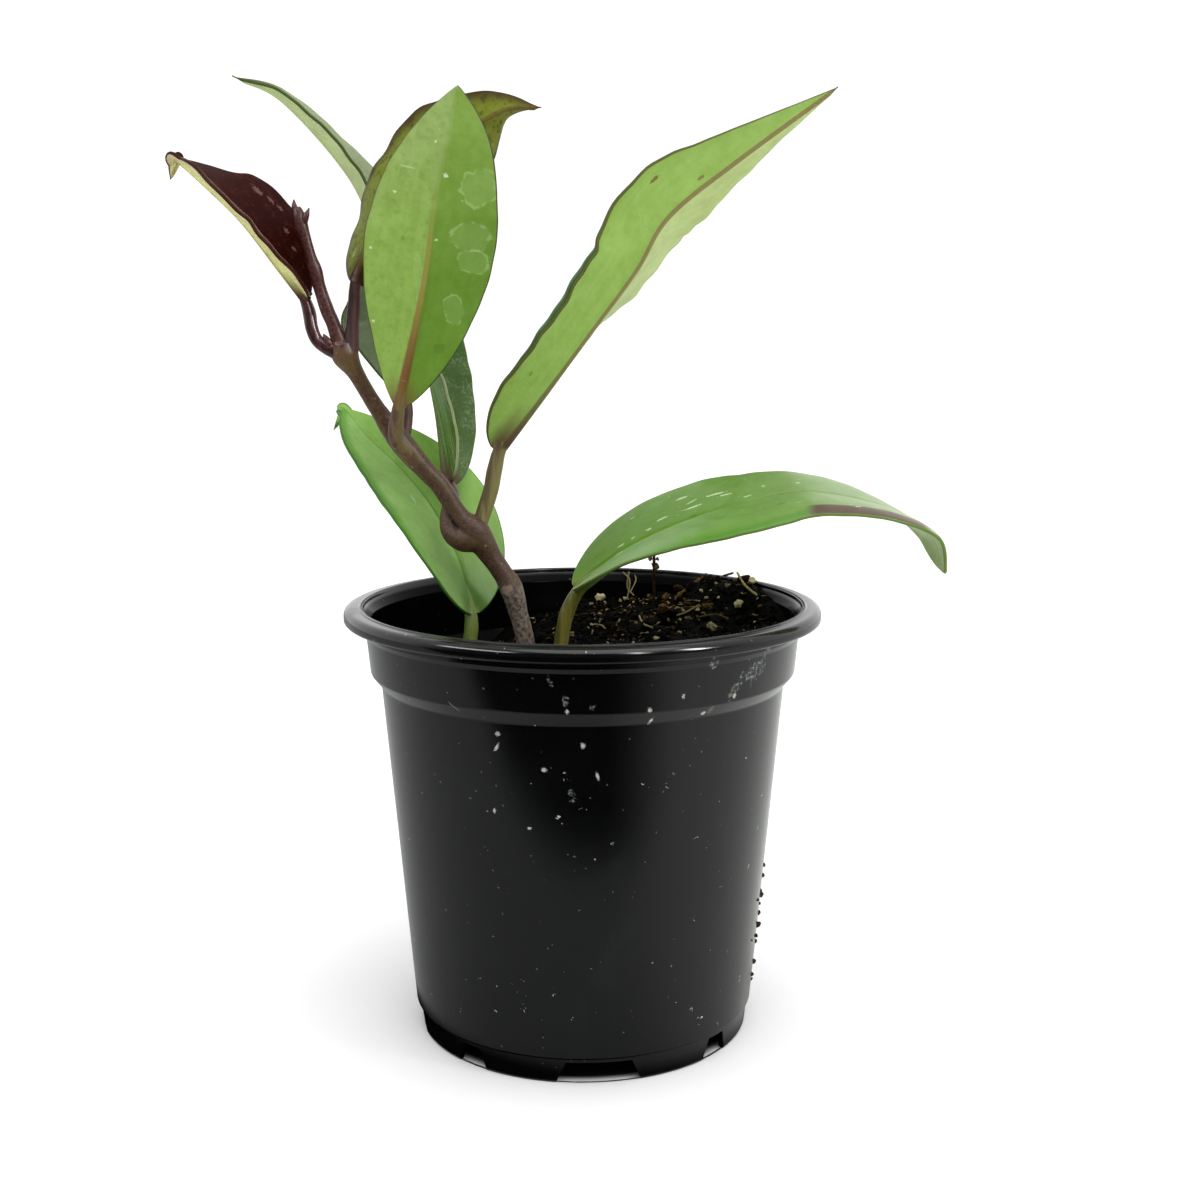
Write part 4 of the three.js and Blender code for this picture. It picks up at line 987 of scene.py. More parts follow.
def mix_finish():
    """Damp peat with bark, fibre and perlite, by the tone that each crumb carries."""
    finish = Finish("damp_potting_mix", Specular_IOR_Level=0.02)
    tone = finish.attribute("tone")
    grain = finish.noise(finish.place, 1400, 4.0, 0.7)
    peat = finish.mix(grain, tint(1, 1, 1), tint(8, 7, 4))
    bark = finish.mix(finish.ramp(grain, 0.35, 0.65), tint(16, 11, 6), tint(112, 84, 48))
    straw = finish.mix(grain, tint(96, 84, 50), tint(186, 172, 128))
    perlite = finish.mix(grain, tint(138, 128, 84), tint(222, 216, 176))
    colour = finish.mix(finish.ramp(tone, 0.34, 0.52), peat, bark)
    colour = finish.mix(finish.ramp(tone, 0.6, 0.74), colour, straw)
    colour = finish.mix(finish.ramp(tone, 0.78, 0.88), colour, perlite)
    finish.set("Base Color", colour)
    finish.set("Roughness", finish.ramp(grain, 0.2, 0.8, 0.55, 0.95))
    finish.bump(grain, 0.3, 0.8)
    return finish.material


def floor_finish():
    finish = Finish("pale_floor", Roughness=0.6, Specular_IOR_Level=0.2)
    haze = finish.noise(finish.place, 2.0)
    pale = finish.mix(haze, tint(248, 248, 248), tint(252, 252, 252))
    # Painted shade: the floor under the pot, seen through the gaps between its feet, is painted dark grey
    away = finish.vector("DISTANCE", finish.place, tuple(POT_AXIS))
    under = finish.ramp(away, (FOOT_RADIUS - WALL) * MM, (FOOT_RADIUS - 3 * WALL) * MM)
    finish.set("Base Color", finish.mix(under, pale, tint(40, 40, 40)))
    return finish.material


def flag_finish():
    """Painted reflection for the pot's gloss: grey, black from a straight edge before the pot on, softly less
    so to the right.
    """
    finish = Finish("grey_flag", Roughness=1.0, Specular_IOR_Level=0.0)
    x, y, _ = finish.split(finish.place)
    turn = finish.math("ARCTAN2", x, finish.times(y, -1.0))
    flag_mottle = finish.noise(finish.place, 30)
    black = finish.mix(flag_mottle, tint(2, 2, 2), tint(8, 8, 8))
    away = finish.vector("LENGTH", finish.place)
    before = finish.minus(finish.times(x, FLAG["slant"]), y)
    edge, soft = FLAG["edge"] * MM, FLAG["soft"] * MM
    front = finish.ramp(before, edge - soft, edge + soft)
    right_part = finish.ramp(turn, *(math.radians(degrees) for degrees in FLAG_RIGHT))
    front = finish.times(front, finish.minus(1.0, right_part))
    painted_floor_reflection = finish.mix(right_part, tint(172, 174, 172), tint(212, 214, 211))
    # Painted shade of the floor under the pot, as the pot's wall mirrors it: dark near its foot
    under = finish.ramp(away, (FLAG["near"] + FLAG["near_soft"]) * MM, FLAG["near"] * MM)
    dark = finish.larger(front, under)
    finish.set("Base Color", finish.mix(dark, painted_floor_reflection, black))
    return finish.material


def linked(name, mesh):
    piece = bpy.data.objects.new(name, mesh)
    bpy.context.scene.collection.objects.link(piece)
    return piece


def geometry_tree(name, sockets):
    """A tree with a mesh in and out and named inputs for its sizes."""
    group = bpy.data.node_groups.new(name, "GeometryNodeTree")
    group.interface.new_socket("Geometry", in_out="INPUT", socket_type="NodeSocketGeometry")
    group.interface.new_socket("Geometry", in_out="OUTPUT", socket_type="NodeSocketGeometry")
    for label, kind in sockets.items():
        group.interface.new_socket(label, in_out="INPUT", socket_type="NodeSocket" + kind)
    tree = Tree(group)
    return tree, tree.add("NodeGroupInput").outputs


def end_tree(tree, geometry, material):
    whole = tree.add("GeometryNodeRealizeInstances", {0: geometry}).outputs[0]
    whole = tree.add("GeometryNodeSetMaterial", {"Geometry": whole, "Material": material}).outputs[0]
    tree.add("NodeGroupOutput", {0: whole})


def grown(name, mesh, tree, **sizes):
    """The plain mesh object that a geometry tree makes from a starting mesh."""
    maker = linked(name + "_start", mesh)
    modifier = maker.modifiers.new("shape", "NODES")
    modifier.node_group = tree.tree
    for item in tree.tree.interface.items_tree:
        label = item.name.lower().replace(" ", "_")
        if item.in_out == "INPUT" and label in sizes:
            modifier[item.identifier] = sizes[label]
    bpy.context.view_layer.update()
    evaluated = maker.evaluated_get(bpy.context.evaluated_depsgraph_get())
    result = bpy.data.meshes.new_from_object(evaluated)
    maker.modifiers.remove(modifier)
    bpy.data.objects.remove(maker)
    return linked(name, result)


def joined(pieces):
    """Several mesh objects as one, with the first one's name."""
    bpy.ops.object.select_all(action="DESELECT")
    for piece in pieces:
        piece.select_set(True)
    bpy.context.view_layer.objects.active = pieces[0]
    bpy.ops.object.join()
    return pieces[0]


def add_values(mesh, name, values, kind="FLOAT"):
    layer = mesh.attributes.new(name, kind, "POINT")
    key = "vector" if kind == "FLOAT_VECTOR" else "value"
    layer.data.foreach_set(key, np.asarray(values, np.float32).ravel())


def bare_mesh(name, points, edges=(), faces=()):
    mesh = bpy.data.meshes.new(name)
    mesh.from_pydata([tuple(p) for p in points], [tuple(e) for e in edges], [tuple(f) for f in faces])
    return mesh


def make_camera():
    data = bpy.data.cameras.new("view")
    data.lens = CAMERA_LENS
    data.sensor_width = CAMERA_SENSOR
    data.clip_start = CAMERA_NEAR * MM
    data.clip_end = CAMERA_FAR * MM
    camera = linked("view", data)
    camera.location = placed(CAMERA_PLACE)
    camera.rotation_euler = (math.pi / 2 - CAMERA_DOWN, 0, 0)
    bpy.context.scene.camera = camera


def aimed_light(name, data, place):
    light = linked(name, data)
    light.location = placed(place)
    target = Vector(placed((0, 0, POT_HEIGHT)))
    light.rotation_euler = (target - light.location).to_track_quat("-Z", "Y").to_euler()


def make_sun(name, from_place, spread, strength):
    data = bpy.data.lights.new(name, "SUN")
    data.angle = math.radians(spread)
    data.energy = strength
    aimed_light(name, data, from_place)


def make_softbox(name, place, size, watts):
    data = bpy.data.lights.new(name, "AREA")
    data.shape = "RECTANGLE"
    data.size = size[0] * MM
    data.size_y = size[1] * MM
    data.energy = watts
    aimed_light(name, data, place)
    return bpy.data.objects[name]


def flat_card(name, corners, material):
    card = linked(name, bare_mesh(name, placed(corners), faces=[range(len(corners))]))
    card.data.materials.append(material)
    return card


def make_flag():
    """A sheet on the floor, dark before the pot, for its wall to mirror and nothing else to see: a painted
    reflection.
    """
    turns = np.linspace(0, 2 * math.pi, FLAG_SECTORS, endpoint=False)
    far = FLAG["far"]
    corners = [(far * math.cos(turn), far * math.sin(turn), FLAG["height"]) for turn in turns]
    flag = flat_card("flag", corners, flag_finish())
    flag.visible_camera = False
    flag.visible_diffuse = False
    flag.visible_shadow = False


def make_studio():
    world = bpy.data.worlds.new("white_room")
    bpy.context.scene.world = world
    world.use_nodes = True
    sky = Tree(world.node_tree)
    direction = sky.split(sky.add("ShaderNodeTexCoord").outputs["Generated"])
    rays = sky.add("ShaderNodeLightPath").outputs
    room = sky.ramp(direction[1], *FRONT_TO_BACK, DIM_FRONT_OF_ROOM, WHITE_ROOM)
    aside = sky.ramp(sky.math("ABSOLUTE", direction[0]), *DARK_DOOR_SIDE)
    open_back = sky.larger(aside, sky.ramp(direction[2], *DARK_DOOR_FOOT))
    in_gloss = sky.times(sky.ramp(direction[1], *GLOSS_FRONT_TO_BACK, 0.0, BACK_IN_GLOSS), open_back)
    ceiling = sky.ramp(direction[2], *GLOSS_WALL_TO_CEILING, DARK_IN_GLOSS, CEILING_IN_GLOSS)
    in_gloss = sky.larger(in_gloss, ceiling)
    glossy = rays["Is Glossy Ray"]
    room = sky.plus(sky.times(room, sky.minus(1.0, glossy)), sky.times(in_gloss, glossy))
    strength = world.node_tree.nodes["Background"].inputs["Strength"]
    sky.put(strength, sky.larger(room, rays["Is Camera Ray"]))
    world.node_tree.nodes["Background"].inputs["Color"].default_value = (1, 1, 1, 1)
    bpy.context.scene.view_settings.view_transform = "Standard"
    make_sun("window_light", **SUN_LIGHT)
    make_softbox("side_light", **SIDE_LIGHT)
    for number, light in enumerate(GLOSS_LIGHTS):
        make_softbox(f"gloss_light_{number}", **light).visible_diffuse = False
    half = FLOOR_SIZE / 2
    corners = [(-half, half, 0), (-half, -half, 0), (half, -half, 0), (half, half, 0)]
    flat_card("floor", corners, floor_finish())
    make_flag()


def rounded_outline(corners):
    """An outline through corners (across, up, round), with an arc of that radius at each."""
    flat = np.array([corner[:2] for corner in corners], float)
    outline = []
    for i, (_, _, radius) in enumerate(corners):
        here = flat[i]
        if radius == 0:
            outline.append(here)
            continue
        back = unit(flat[i - 1] - here)
        onward = unit(flat[i + 1] - here)
        half_angle = math.acos(np.clip(back @ onward, -1, 1)) / 2
        centre = here + unit(back + onward) * radius / math.sin(half_angle)
        setback = radius / math.tan(half_angle)
        start = here + back * setback - centre
        end = here + onward * setback - centre
        for share in np.linspace(0, 1, ARC_STEPS):
            outline.append(centre + unit(start + (end - start) * share) * radius)
    return np.array(outline)


def pot_outline():
    """From the middle of the floor's underside, out and up the outside, and back down the inside."""
    skirt_inner = RIM_RADIUS - WALL
    collar_top = POT_HEIGHT - WALL
    lip_bottom = POT_HEIGHT - LIP_HEIGHT
    return rounded_outline([
        (0, FLOOR_UNDERSIDE, 0),
        (FOOT_RADIUS - WALL, FLOOR_UNDERSIDE, 0.5),
        (FOOT_RADIUS - WALL, 0, 0.3),
        (FOOT_RADIUS, 0, 0.4),
        (FOOT_TOP_RADIUS, FOOT_HEIGHT, 0.1),
        (BODY_BOTTOM_RADIUS, FOOT_HEIGHT + FOOT_STEP, 0.35),
        (BODY_TOP_RADIUS, LEDGE_BOTTOM, 1.2),
        (COLLAR_RADIUS - COLLAR_TAPER, LEDGE_TOP, 1.1),
        (COLLAR_RADIUS - 0.1, FLARE["bottom"], 0.1),
        (COLLAR_RADIUS + FLARE["reach"], FLARE["top"], 0.1),
        (COLLAR_RADIUS + FLARE["reach"], collar_top, 0.3),
        (skirt_inner, collar_top, 0.3),
        (skirt_inner, lip_bottom, 0.25),
        (RIM_RADIUS, lip_bottom, 0.75),
        (RIM_RADIUS, POT_HEIGHT - BEAD["height"], 1.6),
        (OPENING_RADIUS + BEAD["foot"], POT_HEIGHT - BEAD["height"], 0.1),
        (OPENING_RADIUS + BEAD["top"], POT_HEIGHT, 0.2),
        (OPENING_RADIUS, POT_HEIGHT, 0.35),
        (OPENING_RADIUS - 0.15, POT_HEIGHT - 0.9, 0.25),
        (COLLAR_RADIUS - WALL, INNER_RIM_HEIGHT, 0.8),
        (COLLAR_RADIUS - COLLAR_TAPER - WALL, LEDGE_TOP + WALL / 3, 0.8),
        (BODY_TOP_RADIUS - WALL, LEDGE_BOTTOM + WALL / 3, 0.8),
        (BODY_BOTTOM_RADIUS - WALL, FLOOR_TOP, 0.6),
        (0, FLOOR_TOP, 0),
    ])


def pot_tree():
    """Turns an outline into a pot, then cuts the gaps between its feet and the drain holes."""
    tree, sizes = geometry_tree("turned_pot", {
        "Sides": "Int", "Outline Points": "Int", "Gap Angle": "Float",
        "Wide Bottom": "Float", "Wide Top": "Float",
        "Narrow Bottom": "Float", "Narrow Top": "Float", "Gap Height": "Float", "Gap Ring": "Float",
        "Drain Radius": "Float", "Drain Ring": "Float", "Drain Height": "Float", "Axis": "Vector",
        "Material": "Material",
    })
    columns = tree.plus(sizes["Sides"], 1.0)
    grid = tree.add("GeometryNodeMeshGrid", {"Vertices X": columns, "Vertices Y": sizes["Outline Points"]})
    index = tree.add("GeometryNodeInputIndex").outputs[0]
    row = tree.math("MODULO", index, sizes["Outline Points"])
    column = tree.math("FLOOR", tree.over(index, sizes["Outline Points"]))
    here = tree.add("GeometryNodeInputPosition").outputs[0]
    sample = tree.add(
        "GeometryNodeSampleIndex", {"Geometry": sizes["Geometry"], "Index": row}, data_type="FLOAT_VECTOR"
    )
    tree.put(sample.inputs["Value"], here)
    radius, _, height = tree.split(sample.outputs[0])
    angle = tree.times(tree.over(column, sizes["Sides"]), 2 * math.pi)
    x = tree.times(radius, tree.math("SINE", angle))
    y = tree.times(radius, tree.times(tree.math("COSINE", angle), -1.0))
    turned = tree.add(
        "GeometryNodeSetPosition", {"Geometry": grid.outputs[0], "Position": tree.combine(x, y, height)}
    ).outputs[0]
    closed = tree.add("GeometryNodeMergeByDistance", {"Geometry": turned, "Distance": 0.001 * MM}).outputs[0]
    closed = tree.add("GeometryNodeFlipFaces", {0: closed}).outputs[0]
    cutters = [
        foot_gaps(tree, sizes, "Wide", 0.0),
        foot_gaps(tree, sizes, "Narrow", math.pi / 4),
        drain_holes(tree, sizes),
    ]
    cut = tree.add("GeometryNodeMeshBoolean", {0: closed}, operation="DIFFERENCE", solver="MANIFOLD")
    for cutter in cutters:
        tree.tree.links.new(cutter, cut.inputs[1])
    smooth = tree.add("GeometryNodeSetShadeSmooth", {0: cut.outputs[0], "Shade Smooth": True}).outputs[0]
    angle = tree.add("GeometryNodeInputMeshEdgeAngle").outputs[0]
    sharp = tree.math("GREATER_THAN", angle, math.radians(SHARP_EDGE))
    smooth = tree.add(
        "GeometryNodeSetShadeSmooth", {0: smooth, "Selection": sharp, "Shade Smooth": False}, domain="EDGE"
    ).outputs[0]
    stood = tree.add("GeometryNodeTransform", {"Geometry": smooth, "Translation": sizes["Axis"]}).outputs[0]
    end_tree(tree, stood, sizes["Material"])
    return tree


def foot_gaps(tree, sizes, width, turn):
    """Four wedges round the foot, wider at the floor than at their top."""
    share = 1 / math.sqrt(2)
    wedge = tree.add("GeometryNodeMeshCone", {
        "Vertices": 4, "Radius Top": tree.times(sizes[width + " Top"], share),
        "Radius Bottom": tree.times(sizes[width + " Bottom"], share), "Depth": sizes["Gap Height"],
    }).outputs[0]
    eighth_turn = (0, 0, math.pi / 4)
    square = tree.add("GeometryNodeTransform", {"Geometry": wedge, "Rotation": eighth_turn}).outputs[0]
    return ring_of(tree, square, sizes["Gap Ring"], sizes["Gap Angle"], turn)


def drain_holes(tree, sizes):
    drill = tree.add("GeometryNodeMeshCylinder", {
        "Vertices": 40, "Radius": sizes["Drain Radius"], "Depth": DRILL_LENGTH * MM,
    }).outputs[0]
    raised = tree.combine(0.0, 0.0, sizes["Drain Height"])
    drill = tree.add("GeometryNodeTransform", {"Geometry": drill, "Translation": raised}).outputs[0]
    return ring_of(tree, drill, sizes["Drain Ring"], sizes["Gap Angle"], 0.0)


def ring_of(tree, shape, radius, angle, turn):
    """Four copies of a shape round the axis, the first one at an angle from the front."""
    out = tree.combine(0.0, tree.times(radius, -1.0), 0.0)
    ring = tree.add("GeometryNodeJoinGeometry").inputs[0]
    for quarter in range(4):
        moved = tree.add("GeometryNodeTransform", {"Geometry": shape, "Translation": out}).outputs[0]
        whole_turn = tree.plus(angle, turn + quarter * math.pi / 2)
        turned = tree.add("GeometryNodeTransform", {
            "Geometry": moved, "Rotation": tree.combine(0.0, 0.0, whole_turn),
        }).outputs[0]
        tree.tree.links.new(turned, ring)
    return ring.node.outputs[0]


def make_pot():
    outline = pot_outline() * MM
    points = [(across, 0, up) for across, up in outline]
    start = bare_mesh("pot_outline", points, edges=[(i, i + 1) for i in range(len(points) - 1)])
    plastic = pot_finish()
    pot = grown(
        "nursery_pot", start, pot_tree(), sides=POT_SIDES, outline_points=len(points),
        gap_angle=math.radians(WIDE_GAP_ANGLE), wide_bottom=WIDE_GAP[0] * MM, wide_top=WIDE_GAP[1] * MM,
        narrow_bottom=NARROW_GAP[0] * MM, narrow_top=NARROW_GAP[1] * MM, gap_height=GAP_HEIGHT * MM,
        gap_ring=(FOOT_RADIUS - WALL / 2) * MM, drain_radius=DRAIN_RADIUS * MM, drain_ring=DRAIN_RING * MM,
        drain_height=(FLOOR_UNDERSIDE - DRILL_START) * MM, axis=tuple(POT_AXIS), material=plastic,
    )
    add_values(pot.data, "crumb", np.zeros(len(pot.data.vertices)))
    crumbs = grown("pot_crumbs", pot_crumbs(), bits_tree(), material=plastic, **POT_CRUMB_SKIN)
    finished(joined([pot, crumbs]), "pot")


def pot_crumbs():
    """A point on the pot's wall for each crumb that sticks there."""
    points = []
    for degrees, height, _ in POT_CRUMBS:
        share = (height - FOOT_HEIGHT) / (LEDGE_BOTTOM - FOOT_HEIGHT)
        radius = BODY_BOTTOM_RADIUS + (BODY_TOP_RADIUS - BODY_BOTTOM_RADIUS) * share
        turn = math.radians(degrees)
        points.append((radius * math.sin(turn), -radius * math.cos(turn), height))
    mesh = bare_mesh("pot_crumbs_start", placed(points))
    crumb_sizes = [[size] * 3 for _, _, size in POT_CRUMBS]
    add_values(mesh, "bit_size", np.array(crumb_sizes) * MM, "FLOAT_VECTOR")
    add_values(mesh, "crumb", np.ones(len(points)))
    return mesh


def finished(piece, node):
    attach(piece, "root")
    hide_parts(node)


def mix_height(x, y):
    rise = smooth_share(x + MIX_SLOPE_SKEW * y, MIX_SLOPE_START, MIX_SLOPE_END)
    heap = HEAP["height"] * np.exp(-((x - HEAP["x"]) ** 2 + (y - HEAP["y"]) ** 2) / HEAP["spread"] ** 2)
    height = MIX_LOW + (MIX_HIGH - MIX_LOW) * rise + heap
    turn_off = (np.degrees(np.arctan2(y, x)) - BANK["turn"]) / BANK["half_turn"]
    near_wall = smooth_share(np.hypot(x, y), BANK["start"], BANK["end"])
    height = height + BANK["height"] * near_wall * np.exp(-(turn_off**2))
    for lump in (BROAD_LUMPS, SMALL_LUMPS):
        swell = np.sin(lump["wave_x"] * x + lump["shift"]) * np.cos(lump["wave_y"] * y)
        height = height + lump["height"] * swell
    return height


def wall_inside(height):
    """The radius of the pot's inner wall at a height."""
    heights = (FLOOR_TOP, LEDGE_BOTTOM, LEDGE_TOP, INNER_RIM_HEIGHT, POT_HEIGHT)
    radii = (BODY_BOTTOM_RADIUS, BODY_TOP_RADIUS, COLLAR_RADIUS - COLLAR_TAPER, COLLAR_RADIUS, COLLAR_RADIUS)
    return np.interp(height, heights, np.array(radii) - WALL) - MIX_GAP


def mix_start():
    """The filling of the pot as a closed solid of rings, from the middle of its top to that of its base."""
    angles = np.linspace(0, 2 * math.pi, MIX_SECTORS, endpoint=False)
    cos, sin = np.cos(angles), np.sin(angles)
    edge = np.full(MIX_SECTORS, BODY_TOP_RADIUS)
    for _ in range(3):
        edge = wall_inside(mix_height(edge * cos, edge * sin))
    rings = []
    for share in np.linspace(0, 1, MIX_RINGS)[1:]:
        x, y = share * edge * cos, share * edge * sin
        rings.append(np.stack([x, y, mix_height(x, y)], 1))
    top = mix_height(edge * cos, edge * sin)
    base = FLOOR_TOP + MIX_GAP
    for height in (
        np.minimum(top - MIX_GAP, LEDGE_TOP), np.minimum(top - 2 * MIX_GAP, LEDGE_BOTTOM),
        np.minimum(top - 3 * MIX_GAP, (LEDGE_BOTTOM + base) / 2), np.full(MIX_SECTORS, base),
    ):
        radius = wall_inside(height)
        rings.append(np.stack([radius * cos, radius * sin, height], 1))
    points = [(0, 0, float(mix_height(0, 0)))] + [tuple(p) for ring in rings for p in ring]
    points.append((0, 0, FLOOR_TOP + MIX_GAP))
    faces = []
    last = len(points) - 1
    for k in range(MIX_SECTORS):
        beside = (k + 1) % MIX_SECTORS
        faces.append((0, 1 + k, 1 + beside))
        for ring in range(len(rings) - 1):
            inner, outer = 1 + ring * MIX_SECTORS, 1 + (ring + 1) * MIX_SECTORS
            faces.append((inner + k, outer + k, outer + beside, inner + beside))
        outer = 1 + (len(rings) - 1) * MIX_SECTORS
        faces.append((outer + k, last, outer + beside))
    return bare_mesh("mix_filling", placed(points), faces=faces)


def scattered(tree, ground, shape, density, seed, low, rarity, tones, wall_gap, lying=False):
    """Copies of a shape on the open ground, each with its own turn, size and tone, with light tones rare."""
    facing = tree.split(tree.add("GeometryNodeInputNormal").outputs[0])[2]
    here = tree.add("GeometryNodeInputPosition").outputs[0]
    x, y, height = tree.split(tree.vector("SUBTRACT", here, tuple(POT_AXIS)))
    out = tree.vector("LENGTH", tree.combine(x, y, 0.0))
    low_wall = (BODY_TOP_RADIUS - WALL - wall_gap) * MM
    high_wall = (COLLAR_RADIUS - COLLAR_TAPER - WALL - wall_gap) * MM
    wall = tree.ramp(height, LEDGE_TOP * MM, (LEDGE_TOP + 3) * MM, low_wall, high_wall)
    faces_up = tree.math("GREATER_THAN", facing, 0.3)
    open_ground = tree.times(faces_up, tree.math("LESS_THAN", out, wall))
    points = tree.add("GeometryNodeDistributePointsOnFaces", {
        "Mesh": ground, "Selection": open_ground, "Density": density, "Seed": seed,
    }).outputs["Points"]
    full = 2 * math.pi
    spin = ((-0.4, -0.4, 0), (0.4, 0.4, full)) if lying else ((0, 0, 0), (full, full, full))
    turn = tree.add("FunctionNodeRandomValue", {0: spin[0], 1: spin[1]}, data_type="FLOAT_VECTOR").outputs[0]
    size = tree.add(
        "FunctionNodeRandomValue", {0: 3 * (low,), 1: 3 * (LARGEST_COPY,)}, data_type="FLOAT_VECTOR"
    ).outputs[0]
    copies = tree.add("GeometryNodeInstanceOnPoints", {
        "Points": points, "Instance": shape, "Rotation": turn, "Scale": size,
    }).outputs[0]
    draw = tree.add("FunctionNodeRandomValue", {2: 0.0, 3: 1.0}).outputs[1]
    tone = tree.ramp(tree.math("POWER", draw, rarity), 0.0, 1.0, *tones)
    return tree.add("GeometryNodeStoreNamedAttribute", {
        "Geometry": copies, "Name": "tone", "Value": tone,
    }, domain="INSTANCE").outputs[0]


def mix_tree():
    """Roughens the filling's top and strews crumbs and fibres over it."""
    tree, sizes = geometry_tree("strewn_mix", {
        "Relief": "Float", "Crumb Radius": "Float", "Crumb Density": "Float", "Lump Radius": "Float",
        "Lump Density": "Float", "Fibre Length": "Float", "Fibre Radius": "Float", "Fibre Density": "Float",
        "Seed": "Int", "Material": "Material",
    })
    here = tree.add("GeometryNodeInputPosition").outputs[0]
    normal = tree.add("GeometryNodeInputNormal").outputs[0]
    coarse = tree.noise(here, 160.0, 4.0, 0.6)
    fine = tree.noise(here, 700.0, 3.0, 0.6)
    rough = tree.plus(coarse, tree.times(fine, 0.4))
    lift = tree.times(tree.minus(rough, 0.75), sizes["Relief"])
    on_top = tree.math("GREATER_THAN", tree.split(normal)[2], 0.3)
    ground = tree.add("GeometryNodeSetPosition", {
        "Geometry": sizes["Geometry"], "Selection": on_top, "Offset": tree.combine(0.0, 0.0, lift),
    }).outputs[0]
    crumb, lump = (
        tree.add("GeometryNodeMeshIcoSphere", {"Radius": radius, "Subdivisions": steps}).outputs[0]
        for radius, steps in ((sizes["Crumb Radius"], 1), (sizes["Lump Radius"], 2))
    )
    reach = sizes["Fibre Length"]
    arc = tree.add("GeometryNodeCurveQuadraticBezier", {
        "Resolution": 6, "Start": tree.combine(tree.times(reach, -0.5), 0.0, 0.0),
        "Middle": tree.combine(0.0, tree.times(reach, 0.35), tree.times(reach, 0.15)),
        "End": tree.combine(tree.times(reach, 0.5), 0.0, 0.0),
    }).outputs[0]
    ring = tree.add(
        "GeometryNodeCurvePrimitiveCircle", {"Resolution": 4, "Radius": sizes["Fibre Radius"]}
    ).outputs[0]
    fibre = tree.add(
        "GeometryNodeCurveToMesh", {"Curve": arc, "Profile Curve": ring, "Fill Caps": True}
    ).outputs[0]
    seed = sizes["Seed"]
    layers = [
        scattered(tree, ground, crumb, sizes["Crumb Density"], seed, **CRUMB_SPREAD),
        scattered(tree, ground, lump, sizes["Lump Density"], tree.plus(seed, 1.0), **LUMP_SPREAD),
        scattered(tree, ground, fibre, sizes["Fibre Density"], tree.plus(seed, 2.0), **FIBRE_SPREAD),
    ]
    loose = tree.add("GeometryNodeJoinGeometry")
    for layer in layers:
        tree.tree.links.new(layer, loose.inputs[0])
    loose = tree.add("GeometryNodeRealizeInstances", {0: loose.outputs[0]}).outputs[0]
    pitted = tree.times(tree.minus(tree.noise(here, 1000.0, 3.0, 0.7), 0.5), PITTING * MM)
    loose = tree.add("GeometryNodeSetPosition", {
        "Geometry": loose, "Offset": tree.vector("SCALE", normal, pitted),
    }).outputs[0]
    ground = tree.add("GeometryNodeStoreNamedAttribute", {
        "Geometry": ground, "Name": "tone", "Value": tree.ramp(fine, 0.5, 0.9, 0.0, 0.35),
    }).outputs[0]
    whole = tree.add("GeometryNodeJoinGeometry")
    for part in (ground, loose):
        tree.tree.links.new(part, whole.inputs[0])
    end_tree(tree, whole.outputs[0], sizes["Material"])
    return tree


def bits_tree():
    """A ragged lump at each point, as large as its size value."""
    tree, sizes = geometry_tree("ragged_bits", {
        "Grain": "Float", "Raggedness": "Float", "Material": "Material",
    })
    lump = tree.add("GeometryNodeMeshIcoSphere", {"Radius": 1.0, "Subdivisions": 4}).outputs[0]
    size = tree.add(
        "GeometryNodeInputNamedAttribute", {"Name": "bit_size"}, data_type="FLOAT_VECTOR"
    ).outputs[0]
    turn = tree.add(
        "FunctionNodeRandomValue", {0: (-0.4, -0.4, 0), 1: (0.4, 0.4, math.pi)}, data_type="FLOAT_VECTOR"
    ).outputs[0]
    bits = tree.add("GeometryNodeInstanceOnPoints", {
        "Points": sizes["Geometry"], "Instance": lump, "Rotation": turn, "Scale": size,
    }).outputs[0]
    bits = tree.add("GeometryNodeRealizeInstances", {0: bits}).outputs[0]
    here = tree.add("GeometryNodeInputPosition").outputs[0]
    normal = tree.add("GeometryNodeInputNormal").outputs[0]
    ragged = tree.minus(tree.noise(here, sizes["Grain"], 3.0, 0.6), 0.55)
    lift = tree.vector("SCALE", normal, tree.times(ragged, sizes["Raggedness"]))
    bits = tree.add("GeometryNodeSetPosition", {"Geometry": bits, "Offset": lift}).outputs[0]
    end_tree(tree, bits, sizes["Material"])
    return tree


def mix_bits():
    """A point for each larger bit on the mix and each crumb on the standing stalk."""
    points, bit_sizes, tones = [], [], []
    for bit in BITS:
        x, y = bit["at"]
        points.append((x, y, float(mix_height(x, y)) + BIT_LIFT))
        bit_sizes.append(bit["size"])
        tones.append(bit["tone"])
    x, y = STANDING_STALK["place"]
    for aside, above, radius in STALK_CRUMBS:
        points.append((x + aside, y, float(mix_height(x, y)) + above))
        bit_sizes.append((radius, radius, radius))
        tones.append(STANDING_STALK["crumb_tone"])
    mesh = bare_mesh("mix_bits_start", placed(points))
    add_values(mesh, "bit_size", np.array(bit_sizes) * MM, "FLOAT_VECTOR")
    add_values(mesh, "tone", tones)
    return mesh


def twig_lines():
    """The twigs and roots on the mix and the stalk that stands in it, as lines of points."""
    lines = []
    for twig in TWIGS:
        first, last = (np.array((x, y, float(mix_height(x, y)) + up)) for x, y, up in twig["ends"])
        middle = (first + last) / 2 + np.array((twig["sag"], 0, twig["sag"]))
        lines.append({"points": [first, middle, last], "radii": [twig["radius"]] * 3, "tone": twig["tone"]})
    x, y = STANDING_STALK["place"]
    ground = float(mix_height(x, y))
    points = [(x, y, ground - STANDING_STALK["below"]), (x, y, ground + STANDING_STALK["above"])]
    lines.append({"points": points, "radii": [STANDING_STALK["radius"]] * 2, "tone": STANDING_STALK["tone"]})
    return stalk_lines("mix_twigs_start", lines)


